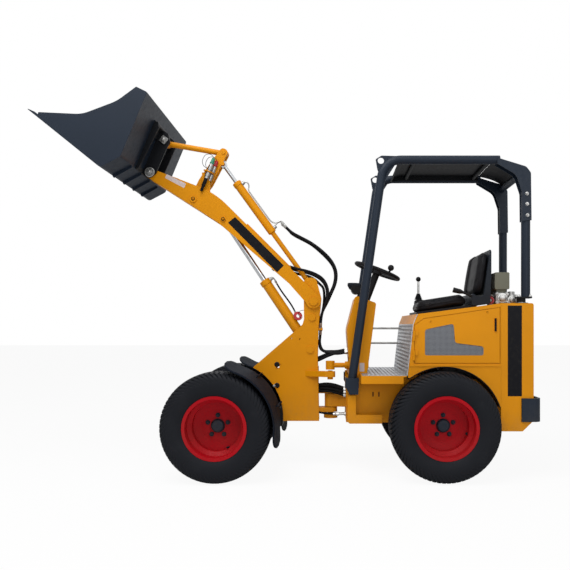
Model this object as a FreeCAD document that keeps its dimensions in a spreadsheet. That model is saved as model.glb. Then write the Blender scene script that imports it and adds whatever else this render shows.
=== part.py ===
import FreeCAD, Part
import math
import os
import Sketcher

# Compact articulated wheel loader with a four-post canopy, bucket raised.
#
# Frame: the bucket points to -X, the operator's left is -Y, +Z is up.  The origin is the
# bottom centre of the whole machine.  Millimetres and degrees throughout.

# ---------------------------------------------------------------- driving dimensions

SIZES = {
    # running gear
    "wheelbase": 1500, "track": 950,
    "tyre_radius": 362, "tyre_width": 310, "tyre_wall": 22,
    "bead_seat": 196, "rim_lip": 209, "rim_well": 168, "rim_metal": 6, "disc_inset": 145,
    "hub_radius": 72, "hub_cap": 42, "stud_circle": 140, "stud_hole": 8,
    "axle_tube": 55, "motor_radius": 88,
    "arch_gap": 43, "fender_gap": 19, "fender_metal": 5, "fender_inset": 40,
    # centre pivot and steering
    "pivot_pin": 22, "pivot_lug_low": 437, "pivot_lug_high": 529,
    "steer_arm": 100, "steer_height": 743, "steer_rod": 17.5, "steer_barrel": 27,
    # front frame: two tower plates
    "tower_half": 55, "tower_plate": 12,
    "boom_pivot_x": 151, "boom_pivot_z": 1204, "boom_pin": 20,
    "lift_base_x": 125, "lift_base_z": 854, "lift_pin": 18,
    "tilt_base_x": 122, "tilt_base_z": 1332, "tilt_pin": 15,
    # boom
    "boom_inner": 60, "boom_plate": 15,
    "lift_eye_x": -504, "lift_eye_z": 1798,
    "lever_pivot_x": -721, "lever_pivot_z": 1946, "lever_pin": 17,
    "bucket_pin_x": -1028, "bucket_pin_z": 2133, "bucket_pin": 17,
    # cylinders
    "lift_bore": 32, "lift_wall": 5, "lift_rod": 19, "lift_barrel_end": 611,
    "tilt_bore": 26, "tilt_wall": 4, "tilt_rod": 14, "tilt_stem": 17.5,
    "tilt_barrel_start": 470, "tilt_barrel_end": 925,
    # lever and link above the boom
    "lever_gap": 26, "lever_plate": 12,
    "lever_top_x": -508, "lever_top_z": 2293,
    "tilt_eye_x": -515, "tilt_eye_z": 2213,
    "link_end_x": -927, "link_end_z": 2365, "link_rod": 20, "link_pin": 14,
    # bucket, drawn level about its lower pin and then curled back
    "bucket_width": 1150, "bucket_curl": 38.8, "bucket_floor": 182, "bucket_reach": 637,
    "bucket_tall": 391, "bucket_back": 41, "bucket_metal": 10, "bucket_cheek": 12,
    "lip_reach": 64,
    # rear body
    "body_half": 460, "skin": 6, "frame_half": 250, "frame_metal": 12, "frame_low": 352,
    "floor_front": 480, "floor_rear": 784, "floor_top": 692, "floor_metal": 8, "floor_lip": 53,
    "seam_height": 765, "hood_rear": 1410, "tail_rear": 1628, "tail_high": 1177,
    "door_gap": 4, "door_metal": 12,
    # operator's place
    "cowl_half": 230, "wheel_x": 618, "wheel_z": 1428, "steering_rim": 178, "steering_tilt": 21,
    "seat_half": 235,
    # canopy
    "post_half": 300, "post_radius": 30, "post_lean": 8.2, "canopy_high": 2201,
    "bend_radius": 135, "roof_half": 268, "roof_skirt": 38, "eye_hole": 22,
    # tail
    "bumper_low": 387, "bumper_high": 543, "hitch_hole": 13,
    # running clearances
    "pin_play": 0.05, "face_gap": 0.3, "slide_play": 0.3,
}

DOC = FreeCAD.newDocument("wheel_loader")
SHEET = DOC.addObject("Spreadsheet::Sheet", "Sizes")


class Size:
    """A number together with the sheet expression that gives it."""

    def __init__(self, value, text):
        self.value = float(value)
        self.text = text

    def __add__(self, other):
        other = size(other)
        return Size(self.value + other.value, f"({self.text} + {other.text})")

    def __sub__(self, other):
        other = size(other)
        return Size(self.value - other.value, f"({self.text} - {other.text})")

    def __mul__(self, other):
        other = size(other)
        return Size(self.value * other.value, f"({self.text} * {other.text})")

    def __truediv__(self, other):
        other = size(other)
        return Size(self.value / other.value, f"({self.text} / {other.text})")

    def __radd__(self, other):
        return size(other) + self

    def __rsub__(self, other):
        return size(other) - self

    def __rmul__(self, other):
        return size(other) * self

    def __rtruediv__(self, other):
        return size(other) / self

    def __neg__(self):
        return Size(-self.value, f"(-1 * {self.text})")


def size(value):
    """Wrap a plain number, and pass a Size through."""
    if isinstance(value, Size):
        return value
    return Size(value, f"({float(value):.6f})")


def sine(angle):
    angle = size(angle)
    return Size(math.sin(math.radians(angle.value)), f"sin({angle.text})")


def cosine(angle):
    angle = size(angle)
    return Size(math.cos(math.radians(angle.value)), f"cos({angle.text})")


def tangent(angle):
    angle = size(angle)
    return Size(math.tan(math.radians(angle.value)), f"tan({angle.text})")


def length(dx, dz):
    dx, dz = size(dx), size(dz)
    return Size(math.hypot(dx.value, dz.value), f"sqrt({dx.text}^2 + {dz.text}^2)")


def bearing(dx, dz):
    """Angle of a direction in the side view, degrees up from +X."""
    dx, dz = size(dx), size(dz)
    degrees = math.degrees(math.atan2(dz.value, dx.value))
    return Size(degrees, f"(atan2({dz.text}; {dx.text}) / 1 deg)")


class Sheet:
    """Reads the sizes by name, each bound to its cell."""

    def __getattr__(self, name):
        return Size(SIZES[name], f"Sizes.{name}")


for row, (alias, number) in enumerate(SIZES.items(), start=1):
    SHEET.set(f"A{row}", alias)
    SHEET.set(f"B{row}", str(number))
    SHEET.setAlias(f"B{row}", alias)
DOC.recompute()
s = Sheet()

# ---------------------------------------------------------------- shared helpers

PARTS = []
COUNT = {}


def fresh(stem):
    """A name that no other object has."""
    COUNT[stem] = COUNT.get(stem, 0) + 1
    return f"{stem}_{COUNT[stem]}"


def bind(thing, path, value):
    """Tie a property to the sheet."""
    thing.setExpression(path, size(value).text)


def place(thing, x=0, y=0, z=0, axis=(0, 0, 1), angle=0):
    """Put an object at a point, turned about an axis, every number bound."""
    x, y, z, angle = size(x), size(y), size(z), size(angle)
    turn = FreeCAD.Rotation(FreeCAD.Vector(*axis), angle.value)
    thing.Placement = FreeCAD.Placement(FreeCAD.Vector(x.value, y.value, z.value), turn)
    for letter, value in zip("xyz", (x, y, z)):
        bind(thing, f"Placement.Base.{letter}", value)
    if angle.text != size(0).text:
        bind(thing, "Placement.Rotation.Angle", angle)
    return thing


def corner(point):
    """A corner as x, z and its rounding radius."""
    x, z, *rounding = point
    return size(x), size(z), size(rounding[0] if rounding else 0)


def add_arc(sketch, centre, first, last, middle):
    """Add an arc and say which of its ends are at first and last."""
    def angle(point):
        return math.atan2(point.y - centre.y, point.x - centre.x) % math.tau

    start, end = angle(first), angle(last)
    forward = (angle(middle) - start) % math.tau < (end - start) % math.tau
    if not forward:
        start, end = end, start
    circle = Part.Circle(centre, FreeCAD.Vector(0, 0, 1), (first - centre).Length)
    if end < start:
        end += math.tau
    edge = sketch.addGeometry(Part.ArcOfCircle(circle, start, end), False)
    return (edge, 1, 2) if forward else (edge, 2, 1)


def rule(sketch, kind, *target, size_of=None):
    """Add a constraint, bound to a size when it has one."""
    if size_of is None:
        sketch.addConstraint(Sketcher.Constraint(kind, *target))
        return
    index = sketch.addConstraint(Sketcher.Constraint(kind, *target, size_of.value))
    bind(sketch, f"Constraints[{index}]", size_of)


def draw_loop(sketch, points, arcs, closed=True):
    """Draw an outline.  A corner may be rounded, an edge may be an arc of a radius."""
    corners = [corner(p) for p in points]
    count = len(corners)
    spots = [FreeCAD.Vector(x.value, z.value, 0) for x, z, _ in corners]
    arrive, leave = list(spots), list(spots)
    for i, (_, _, radius) in enumerate(corners):
        if radius.value:
            back = (spots[i - 1] - spots[i]).normalize()
            ahead = (spots[(i + 1) % count] - spots[i]).normalize()
            run = radius.value / math.tan(back.getAngle(ahead) / 2)
            arrive[i] = spots[i] + back * run
            leave[i] = spots[i] + ahead * run
    ends = []
    for i in range(count if closed else count - 1):
        first, last = leave[i], arrive[(i + 1) % count]
        if i in arcs:
            centre_x, centre_z, radius = arcs[i]
            centre = FreeCAD.Vector(size(centre_x).value, size(centre_z).value, 0)
            middle = (first + last) / 2
            ends.append(add_arc(sketch, centre, first, last, middle))
            rule(sketch, "Radius", ends[-1][0], size_of=size(radius))
        else:
            edge = sketch.addGeometry(Part.LineSegment(first, last), False)
            ends.append((edge, 1, 2))
    for i, (x, z, radius) in enumerate(corners):
        before, after = ends[i - 1], ends[i % len(ends)]
        if not closed and i == 0:
            target = (after[0], after[1])
        elif not closed and i == count - 1:
            target = (before[0], before[2])
        elif radius.value:
            back = (arrive[i] - spots[i]).normalize()
            ahead = (leave[i] - spots[i]).normalize()
            reach = radius.value / math.sin(back.getAngle(ahead) / 2)
            centre = spots[i] + (back + ahead).normalize() * reach
            edge, near, far = add_arc(sketch, centre, arrive[i], leave[i], spots[i])
            rule(sketch, "Tangent", before[0], before[2], edge, near)
            rule(sketch, "Tangent", edge, far, after[0], after[1])
            rule(sketch, "Radius", edge, size_of=radius)
            spot = sketch.addGeometry(Part.Point(spots[i]), True)
            rule(sketch, "PointOnObject", spot, 1, before[0])
            rule(sketch, "PointOnObject", spot, 1, after[0])
            target = (spot, 1)
        else:
            rule(sketch, "Coincident", before[0], before[2], after[0], after[1])
            target = (after[0], after[1])
        rule(sketch, "DistanceX", *target, size_of=x)
        rule(sketch, "DistanceY", *target, size_of=z)


def draw_hole(sketch, x, z, radius):
    """Draw a bound circle."""
    x, z, radius = size(x), size(z), size(radius)
    circle = Part.Circle(FreeCAD.Vector(x.value, z.value, 0), FreeCAD.Vector(0, 0, 1), radius.value)
    edge = sketch.addGeometry(circle, False)
    rule(sketch, "Radius", edge, size_of=radius)
    rule(sketch, "DistanceX", edge, 3, size_of=x)
    rule(sketch, "DistanceY", edge, 3, size_of=z)


def new_sketch(body, plane):
    """An empty sketch on one of the body's own origin planes."""
    sketch = body.newObject("Sketcher::SketchObject", fresh("sketch"))
    own = [f for f in body.Origin.OriginFeatures if f.Role == plane][0]
    sketch.AttachmentSupport = [(own, "")]
    sketch.MapMode = "FlatFace"
    return sketch


# The side view looks along +Y, so its sketch normal is -Y; the other two look down their axis.
NORMAL = {"XZ_Plane": -1, "XY_Plane": 1, "YZ_Plane": 1}


def padded(plane, outline, low, high, arcs=None, holes=(), cuts=()):
    """A plate or block: an outline drawn on a plane and padded from low to high."""
    body = DOC.addObject("PartDesign::Body", fresh("body"))
    sketch = new_sketch(body, plane)
    draw_loop(sketch, outline, arcs or {})
    for hole in holes:
        draw_hole(sketch, *hole)
    for cut in cuts:
        draw_loop(sketch, cut, {})
    low, high = size(low), size(high)
    start = low if NORMAL[plane] > 0 else -high
    bind(sketch, "AttachmentOffset.Base.z", start)
    pad = body.newObject("PartDesign::Pad", fresh("pad"))
    pad.Profile = sketch
    bind(pad, "Length", high - low)
    return body


def side_plate(outline, low, high, **more):
    """Drawn in the side view as x, z and padded across the machine."""
    return padded("XZ_Plane", outline, low, high, **more)


def flat_plate(outline, low, high, **more):
    """Drawn from above as x, y and padded upwards."""
    return padded("XY_Plane", outline, low, high, **more)


def front_plate(outline, low, high, **more):
    """Drawn from the rear as y, z and padded along the machine."""
    return padded("YZ_Plane", outline, low, high, **more)


def turned(outline, about="H_Axis", arcs=None):
    """A lathe shape: along X with H_Axis, along Y with V_Axis."""
    body = DOC.addObject("PartDesign::Body", fresh("body"))
    sketch = new_sketch(body, "XY_Plane")
    draw_loop(sketch, outline, arcs or {})
    spin = body.newObject("PartDesign::Revolution", fresh("turn"))
    spin.Profile = sketch
    spin.ReferenceAxis = (sketch, [about])
    spin.Angle = 360
    return body


def block(x, y, z):
    """A box from three (low, high) pairs."""
    box = DOC.addObject("Part::Box", fresh("block"))
    for name, (low, high) in zip(("Length", "Width", "Height"), (x, y, z)):
        bind(box, name, size(high) - size(low))
    return place(box, x[0], y[0], z[0])


TURN_TO = {"x": ((0, 1, 0), 90), "y": ((1, 0, 0), -90), "z": ((0, 0, 1), 0)}


def rod(axis, x, y, z, radius, long):
    """A cylinder from a point along +x, +y or +z."""
    bar = DOC.addObject("Part::Cylinder", fresh("rod"))
    bind(bar, "Radius", radius)
    bind(bar, "Height", long)
    turn, angle = TURN_TO[axis]
    x, y, z = size(x), size(y), size(z)
    spot = FreeCAD.Vector(x.value, y.value, z.value)
    bar.Placement = FreeCAD.Placement(spot, FreeCAD.Rotation(FreeCAD.Vector(*turn), angle))
    for letter, value in zip("xyz", (x, y, z)):
        bind(bar, f"Placement.Base.{letter}", value)
    return bar


def cross_rod(x, z, radius, low, high):
    """A cylinder across the machine from y = low to y = high."""
    return rod("y", x, low, z, radius, size(high) - size(low))


def fused(*pieces):
    """One solid from pieces that meet."""
    if len(pieces) == 1:
        return pieces[0]
    joined = DOC.addObject("Part::MultiFuse", fresh("fused"))
    joined.Shapes = list(pieces)
    joined.Refine = True
    return joined


def cut(base, *tools):
    """The base with the tools taken away."""
    result = DOC.addObject("Part::Cut", fresh("cut"))
    result.Base = base
    result.Tool = fused(*tools)
    return result


def grouped(*pieces):
    """Like pieces of one node that don't touch."""
    group = DOC.addObject("Part::Compound", fresh("group"))
    group.Links = list(pieces)
    return group


def mirrored(thing):
    """The same piece on the other side of the machine."""
    copy = DOC.addObject("Part::Mirroring", fresh("mirror"))
    copy.Source = thing
    copy.Normal = FreeCAD.Vector(0, 1, 0)
    return copy


def both(thing):
    """A piece and its mirror image."""
    return thing, mirrored(thing)


def node(name, thing):
    """Name a finished sub-part."""
    thing.Label = name
    PARTS.append((name, thing))
    return thing


# ---------------------------------------------------------------- places worked out once

pivot_x = size(275)
front_axle_x = pivot_x - s.wheelbase / 2
rear_axle_x = pivot_x + s.wheelbase / 2
axle_z = s.tyre_radius
half_track = s.track / 2
hub_face = half_track + s.tyre_width / 2 - s.disc_inset - 56
arch_radius = s.tyre_radius + s.arch_gap
rear_arch_x = rear_axle_x + 10
tower_in = s.tower_half - s.tower_plate
boom_out = s.boom_inner + s.boom_plate
frame_in = s.frame_half - s.frame_metal
body_in = s.body_half - s.skin - 2


def on_arch(axle_x, radius, angle):
    """A point on a circle about an axle, the angle up from the rear."""
    return axle_x + radius * cosine(angle), axle_z + radius * sine(angle)


# ---------------------------------------------------------------- wheels

def tyre():
    """A wide low-pressure tyre, hollow and open to the rim, about the Y axis."""
    half = s.tyre_width / 2
    crown = s.tyre_radius
    bead = s.bead_seat + s.face_gap
    foot = half - 28
    wall = s.tyre_wall
    outside = [
        (bead, foot), (s.rim_lip + 6, foot, 4), (bead + 44, half - 5, 30), (crown - 60, half + 1, 60),
        (crown - 9, half - 10, 24), (crown, half - 62, 90),
    ]
    inside = [
        (bead, foot - wall), (bead + 50, half - 6 - wall, 25),
        (crown - 12 - wall, half - 14 - wall, 30), (crown - wall, 0, 300),
    ]
    far = [(p[0], -size(p[1]), *p[2:]) for p in reversed(outside)]
    near_inside = [(p[0], -size(p[1]), *p[2:]) for p in inside]
    back = [inside[3]] + [inside[2], inside[1], inside[0]]
    return turned(outside + far + near_inside[:3] + back, "V_Axis")


def rim():
    """A pressed steel rim with a dished disc, its hub and its cap; outboard is +Y."""
    half = s.tyre_width / 2
    edge = half - 28 + s.face_gap
    seat, well, metal = s.bead_seat, s.rim_well, s.rim_metal
    disc = half - 28 - s.disc_inset
    profile = [
        (seat, edge), (s.rim_lip, edge), (s.rim_lip + 2, edge + 8), (seat - metal, edge + 8),
        (seat - metal, 62), (well - metal, 42), (well - metal, disc + 10), (112, disc, 12),
        (s.hub_cap, disc), (s.hub_cap, disc - 8), (114, disc - 8, 12), (well - metal, disc + 2),
        (well - metal, -42), (seat - metal, -62), (seat - metal, -edge - 8),
        (s.rim_lip + 2, -edge - 8), (s.rim_lip, -edge), (seat, -edge), (seat, -64),
        (well, -44), (well, 44), (seat, 64),
    ]
    shell = turned(profile, "V_Axis")
    hub = rod("y", 0, disc - 28, 0, s.hub_radius, 20)
    cap = turned([(0, disc - 8), (s.hub_cap, disc - 8), (s.hub_cap, disc + 16, 8), (0, disc + 20)],
                 "V_Axis")
    holes = []
    for index in range(5):
        angle = 90 + 72 * index
        x = s.stud_circle / 2 * cosine(angle)
        z = s.stud_circle / 2 * sine(angle)
        holes.append(rod("y", x, disc - 60, z, s.stud_hole, 120))
    pressed = cut(shell, *holes)
    return fused(pressed, hub, cap)


def wheel(name, axle_x, side):
    """A tyre on its rim; the rim's dish faces outboard."""
    turn = 0 if side > 0 else 180
    for piece, make in (("tyre", tyre), ("rim", rim)):
        part = DOC.addObject("Part::Compound", fresh("wheel"))
        part.Links = [make()]
        place(part, axle_x, side * half_track, axle_z, (0, 0, 1), turn)
        node(f"{name}_{piece}", part)


def wheels():
    wheel("front_left", front_axle_x, -1)
    wheel("front_right", front_axle_x, 1)
    wheel("rear_left", rear_axle_x, -1)
    wheel("rear_right", rear_axle_x, 1)


# ---------------------------------------------------------------- axles and arches

def axle(axle_x):
    """A beam with a drive motor in each end, up to the running gap at the hubs."""
    beam = block((axle_x - 60, axle_x + 60), (-300, 300), (axle_z - 60, axle_z + 60))
    reach = hub_face - s.face_gap
    motor = turned([
        (290, 0), (290, s.axle_tube + 15), (312, s.axle_tube + 15), (318, s.motor_radius, 4),
        (reach - 70, s.motor_radius, 8), (reach - 60, 74, 4), (reach - 6, 70), (reach, 62),
        (reach, 0),
    ])
    place(motor, axle_x, 0, axle_z, (0, 0, 1), 90)
    return beam, motor, mirrored(motor)


def front_axle():
    """The front beam, and the carrier that bolts it to the foot of the tower."""
    end_x, _ = on_arch(front_axle_x, arch_radius - s.face_gap, 0)
    carrier = side_plate(
        [(front_axle_x - 90, 300, 20), (end_x, 300), (end_x, 430),
         (front_axle_x - 90, 430, 20)], -s.tower_half - 30, s.tower_half + 30)
    keep = rod("y", front_axle_x, -200, axle_z, arch_radius - s.face_gap, 400)
    trimmed = DOC.addObject("Part::Common", fresh("common"))
    trimmed.Base = carrier
    trimmed.Tool = keep
    return node("front_axle", fused(trimmed, *axle(front_axle_x)))


def rear_axle():
    return node("rear_axle", fused(*axle(rear_axle_x)))


def fender(name, side):
    """A wide curved guard behind the front wheel, its ends bent outward, on two webs."""
    inner, outer = s.tyre_radius + s.fender_gap, s.tyre_radius + s.fender_gap + s.fender_metal
    top, low = 74, -4
    flare = 48
    outline = [
        on_arch(front_axle_x, inner, low), on_arch(front_axle_x, inner, top),
        on_arch(front_axle_x, inner + flare, top + 8),
        on_arch(front_axle_x, outer + flare, top + 8),
        on_arch(front_axle_x, outer, top), on_arch(front_axle_x, outer, low),
        on_arch(front_axle_x, outer + flare, low - 11),
        on_arch(front_axle_x, inner + flare, low - 11),
    ]
    arcs = {0: (front_axle_x, axle_z, inner), 4: (front_axle_x, axle_z, outer)}
    near, far = s.tower_half + s.fender_inset, half_track + s.tyre_width / 2 - 10
    guard = side_plate(outline, near, far, arcs=arcs)
    webs = []
    for angle in (52, 16):
        x, z = on_arch(front_axle_x, outer - 2, angle)
        web = DOC.addObject("Part::Box", fresh("web"))
        bind(web, "Length", arch_radius - outer + 24)
        bind(web, "Width", s.fender_inset + 90)
        bind(web, "Height", 8)
        place(web, x, s.tower_half, z, (0, 1, 0), -angle)
        webs.append(web)
    guard = fused(guard, *webs)
    if side < 0:
        guard = mirrored(guard)
    return node(name, guard)


# ---------------------------------------------------------------- front frame

def tower_outline():
    """The tall plate: foot along the wheel arch, sloping shoulder, neck and rounded ear."""
    px, pz = s.boom_pivot_x, s.boom_pivot_z
    ear = 45
    foot_x, foot_z = on_arch(front_axle_x, arch_radius, -4)
    return [
        (191, foot_z), (foot_x, foot_z), on_arch(front_axle_x, arch_radius, 63),
        (px - 81, pz - 168, 20),
        (px - 70, pz - 130, 30), (s.tilt_base_x - ear, s.tilt_base_z + ear, ear * 0.97),
        (s.tilt_base_x + ear, s.tilt_base_z + ear, ear * 0.97), (px + 56, pz + 24, 40),
        (px + 34, pz - 210, 60), (px + 30, pz - 420),
    ]


def front_frame():
    """Two tower plates tied by a curved wheel-side wall, a rear wall, a floor and tubes."""
    outline = tower_outline()
    foot_x, foot_z = outline[1]
    arcs = {1: (front_axle_x, axle_z, arch_radius)}
    holes = [
        (s.boom_pivot_x, s.boom_pivot_z, s.boom_pin), (s.lift_base_x, s.lift_base_z, s.lift_pin),
        (s.tilt_base_x, s.tilt_base_z, s.tilt_pin),
        (-112, 728, 14), (-134, 746, 4), (-90, 746, 4), (-12, 935, 5), (50, 930, 5),
    ]
    plate = side_plate(outline, tower_in, s.tower_half, arcs=arcs, holes=holes)
    curved = side_plate(
        [(foot_x, foot_z), on_arch(front_axle_x, arch_radius, 58),
         on_arch(front_axle_x, arch_radius + 10, 58),
         on_arch(front_axle_x, arch_radius + 10, -3)], -tower_in, tower_in,
        arcs={0: (front_axle_x, axle_z, arch_radius),
              2: (front_axle_x, axle_z, arch_radius + 10)})
    rear_wall = block((175, 187), (-tower_in, tower_in), (foot_z, 730))
    floor = block((foot_x + 8, 187), (-tower_in, tower_in), (foot_z, foot_z + 12))
    neck_tube = cross_rod(139, 1087, 26, -s.tower_half - 8, s.tower_half + 8)
    # clevis of the centre pivot: a lug above and a lug below the rear frame's bearing
    lugs = []
    for low in (s.pivot_lug_low - 39, s.pivot_lug_high + 5):
        lug = flat_plate(
            [(187, -tower_in + 3), (pivot_x, -48), (pivot_x + 48, -48, 44),
             (pivot_x + 48, 48, 44), (pivot_x, 48), (187, tower_in - 3)],
            low, low + 34, holes=[(pivot_x, 0, s.pivot_pin)])
        lugs.append(lug)
    # steering arm: a lug out from the left plate
    pin_y = -s.steer_arm
    arm = flat_plate(
        [(90, -s.tower_half), (182, -s.tower_half), (pivot_x + 33, pin_y - 4, 8),
         (pivot_x + 33, pin_y - 38, 20), (pivot_x - 39, pin_y - 38, 30)],
        659, 700)
    arm_boss = rod("z", pivot_x - 3, pin_y, 700, 17, 4)
    arm_nut = rod("z", pivot_x - 3, pin_y, 641, 20, 18)
    frame = fused(*both(plate), curved, rear_wall, floor, neck_tube, *lugs, arm, arm_boss, arm_nut)
    return node("front_frame", frame)


def front_pins():
    """The boom's pivot pin and the two cylinder pins in the tower, and the centre pin."""
    x, z = s.boom_pivot_x, s.boom_pivot_z
    boom = cross_rod(x, z, s.boom_pin, -boom_out - 0.5, boom_out + 0.5)
    boom_head = cross_rod(x, z, s.boom_pin + 12, boom_out + 0.5, boom_out + 10)
    lift = cross_rod(s.lift_base_x, s.lift_base_z, s.lift_pin, -s.tower_half, s.tower_half)
    lift_head = cross_rod(s.lift_base_x, s.lift_base_z, s.lift_pin + 9,
                          s.tower_half, s.tower_half + 7)
    tilt = cross_rod(s.tilt_base_x, s.tilt_base_z, s.tilt_pin, -s.tower_half, s.tower_half)
    pivot_low, pivot_high = s.pivot_lug_low - 84, s.pivot_lug_high + 60
    centre = rod("z", pivot_x, 0, pivot_low, s.pivot_pin, pivot_high - pivot_low)
    foot = rod("z", pivot_x, 0, pivot_low, 50, 30)
    cap = rod("z", pivot_x, 0, s.pivot_lug_high + 39, 32, 16)
    group = grouped(fused(boom, *both(boom_head)), fused(lift, *both(lift_head)), tilt,
                    fused(centre, foot, cap))
    return node("front_pins", group)


# ---------------------------------------------------------------- boom

def boom():
    """Two bent side plates with top and bottom plates, forked over the tower at the rear.

    The underside is open behind the lift cylinder's eye and the top is open at the lever,
    so that both can move."""
    px, pz = s.boom_pivot_x, s.boom_pivot_z
    qx, qz = s.bucket_pin_x, s.bucket_pin_z
    outline = [
        (qx - 6, qz + 37), (qx + 463, qz - 142, 560), (px + 37, pz + 37), (px - 34, pz - 34),
        (px - 182, pz + 134, 150), (px - 691, pz + 571, 320), (qx - 22, qz - 31),
    ]
    run_pin = s.pin_play
    ends = [cross_rod(x, z, radius, s.boom_inner, boom_out)
            for x, z, radius in ((px, pz, 52), (qx, qz, 38))]
    bores = [cross_rod(x, z, radius, 0, 200) for x, z, radius in (
        (px, pz, s.boom_pin + run_pin), (qx, qz, s.bucket_pin))]
    plate = cut(fused(side_plate(outline, s.boom_inner, boom_out), *ends), *bores)
    inside = s.boom_inner
    metal = 10
    # top plates before and behind the lever's slot, following the side plates' top edge
    tip_top = slanted_strip((qx + 36, qz + 6), (qx + 192, qz - 45), metal, inside)
    rear_top = slanted_strip((px - 487, pz + 558), (px - 171, pz + 242), metal, inside)
    # bottom plate from the tip to the lift cylinder's eye
    bottom = slanted_strip((qx + 30, qz - 63), (qx + 380, qz - 287), metal, inside)
    spacers = []
    eye = cross_rod(s.lift_eye_x, s.lift_eye_z, 34, 34, inside)
    stub = cross_rod(s.lift_eye_x, s.lift_eye_z, s.lift_pin, boom_out, boom_out + 9)
    spacers += [*both(eye), *both(stub)]
    hub = cross_rod(s.lever_pivot_x, s.lever_pivot_z, 30, s.lever_gap + s.lever_plate + 3, inside)
    shank = cross_rod(s.lever_pivot_x, s.lever_pivot_z, s.lever_pin - s.pin_play, -boom_out, boom_out)
    head = cross_rod(s.lever_pivot_x, s.lever_pivot_z, s.lever_pin + 9, boom_out, boom_out + 8)
    spacers += [*both(hub), *both(head), shank]
    tie = cross_rod(px - 300, pz + 300, 22, -inside, inside)
    frame = fused(*both(plate), tip_top, rear_top, bottom, *spacers, tie)
    return node("boom", frame)


def bent_tube(points, y, radius):
    """A solid round tube along straight runs in a plane, its corners bent to a radius."""
    path = DOC.addObject("Sketcher::SketchObject", fresh("path"))
    place(path, 0, y, 0, (1, 0, 0), 90)
    draw_loop(path, points, {}, closed=False)
    (x0, z0), (x1, z1) = points[0][:2], points[1][:2]
    ring = DOC.addObject("Part::Circle", fresh("ring"))
    bind(ring, "Radius", radius)
    place(ring, x0, y, z0, (0, 1, 0), 90 - bearing(size(x1) - x0, size(z1) - z0))
    tube = DOC.addObject("Part::Sweep", fresh("tube"))
    tube.Sections = [ring]
    tube.Spine = (path, [f"Edge{i + 1}" for i in range(2 * len(points) - 3)])
    tube.Solid = True
    return tube


def slanted_strip(start, end, metal, half):
    """A flat plate across the machine between two (x, z) points of its lower face."""
    (x0, z0), (x1, z1) = start, end
    dx, dz = size(x1) - x0, size(z1) - z0
    strip = DOC.addObject("Part::Box", fresh("strip"))
    bind(strip, "Length", length(dx, dz))
    bind(strip, "Width", 2 * size(half))
    bind(strip, "Height", metal)
    return place(strip, x0, -size(half), z0, (0, 1, 0), -bearing(dx, dz))


def lever():
    """Two long plates on a hub, tied below the eyes; the link and the tilt rod end between."""
    kx, kz = s.lever_pivot_x, s.lever_pivot_z
    lx, lz = s.lever_top_x, s.lever_top_z
    low, high = s.lever_gap, s.lever_gap + s.lever_plate
    angle = bearing(lx - kx, lz - kz)
    arm = length(lx - kx, lz - kz)
    plate = side_plate(
        [(-28, -30, 28), (arm / 2 - 40, -46, 80), (arm - 50, -34, 60), (arm + 28, -28, 27),
         (arm + 28, 28, 27), (arm - 90, 40, 60), (arm / 2 - 60, 48, 80), (-28, 30, 28)],
        low, high, holes=[(0, 0, s.lever_pin)])
    plates = fused(plate, mirrored(plate))
    hub = cut(cross_rod(0, 0, 30, -high, high), cross_rod(0, 0, s.lever_pin, -high - 1, high + 1))
    tie = cross_rod(arm / 2 - 70, 12, 15, -high, high)
    link_pin = cross_rod(arm, 0, s.link_pin, -high - 6, high + 6)
    body = fused(plates, hub, tie, link_pin)
    rod_x, rod_z = s.tilt_eye_x, s.tilt_eye_z
    along = (rod_x - kx) * cosine(angle) + (rod_z - kz) * sine(angle)
    across = (rod_z - kz) * cosine(angle) - (rod_x - kx) * sine(angle)
    eye_stub = cross_rod(along, across, 14, low + 2, high + 6)
    whole = fused(body, *both(eye_stub))
    return node("bell_crank", place(grouped(whole), kx, 0, kz, (0, 1, 0), -angle))


def tilt_link():
    """A round bar with an eye at each end, from the lever's top to the bucket's upper pin."""
    lx, lz = s.lever_top_x, s.lever_top_z
    nx, nz = s.link_end_x, s.link_end_z
    angle = bearing(nx - lx, nz - lz)
    long = length(nx - lx, nz - lz)
    bar = rod("x", 20, 0, 0, s.link_rod, long - 40)
    half = s.lever_gap - 3
    eye = cross_rod(0, 0, 28, -half, half)
    far_eye = cross_rod(long, 0, 28, -half, half)
    bore = cross_rod(0, 0, s.link_pin + s.pin_play, -half - 1, half + 1)
    link = cut(fused(bar, eye, far_eye), bore)
    return node("tilt_link", place(grouped(link), lx, 0, lz, (0, 1, 0), -angle))


# ---------------------------------------------------------------- cylinders

def barrel(name, base, toward, shape, pin_radius, half):
    """A cylinder barrel drawn along +X from its base eye; shape is its lathe profile."""
    eye = cross_rod(0, 0, pin_radius + 14, -half, half)
    bore = cross_rod(0, 0, pin_radius + s.pin_play, -half - 1, half + 1)
    angle = bearing(toward[0] - base[0], toward[1] - base[1])
    whole = cut(fused(turned(shape), eye), bore)
    return node(name, place(grouped(whole), base[0], 0, base[1], (0, 1, 0), -angle))


def lift_cylinder():
    base = (s.lift_base_x, s.lift_base_z)
    eye = (s.lift_eye_x, s.lift_eye_z)
    bore, outer, end = s.lift_bore, s.lift_bore + s.lift_wall, s.lift_barrel_end
    gland = s.lift_rod + s.slide_play
    barrel("lift_cylinder_barrel", base, eye, [
        (22, 0), (22, 24), (44, outer, 4), (end - 40, outer), (end - 40, outer + 4, 2),
        (end - 4, outer + 4, 2), (end, 28), (end, gland), (end - 40, gland), (end - 40, bore),
        (56, bore), (56, 0),
    ], s.lift_pin, 34)
    long = length(eye[0] - base[0], eye[1] - base[1])
    angle = bearing(eye[0] - base[0], eye[1] - base[1])
    inner = end - 111
    shaft = turned([
        (inner, 0), (inner, bore - s.slide_play), (inner + 28, bore - s.slide_play),
        (inner + 28, s.lift_rod), (long - 20, s.lift_rod), (long - 20, 0),
    ])
    head = cross_rod(long, 0, 32, -28, 28)
    return node("lift_cylinder_rod", place(grouped(fused(shaft, head)), base[0], 0, base[1],
                                           (0, 1, 0), -angle))


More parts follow.
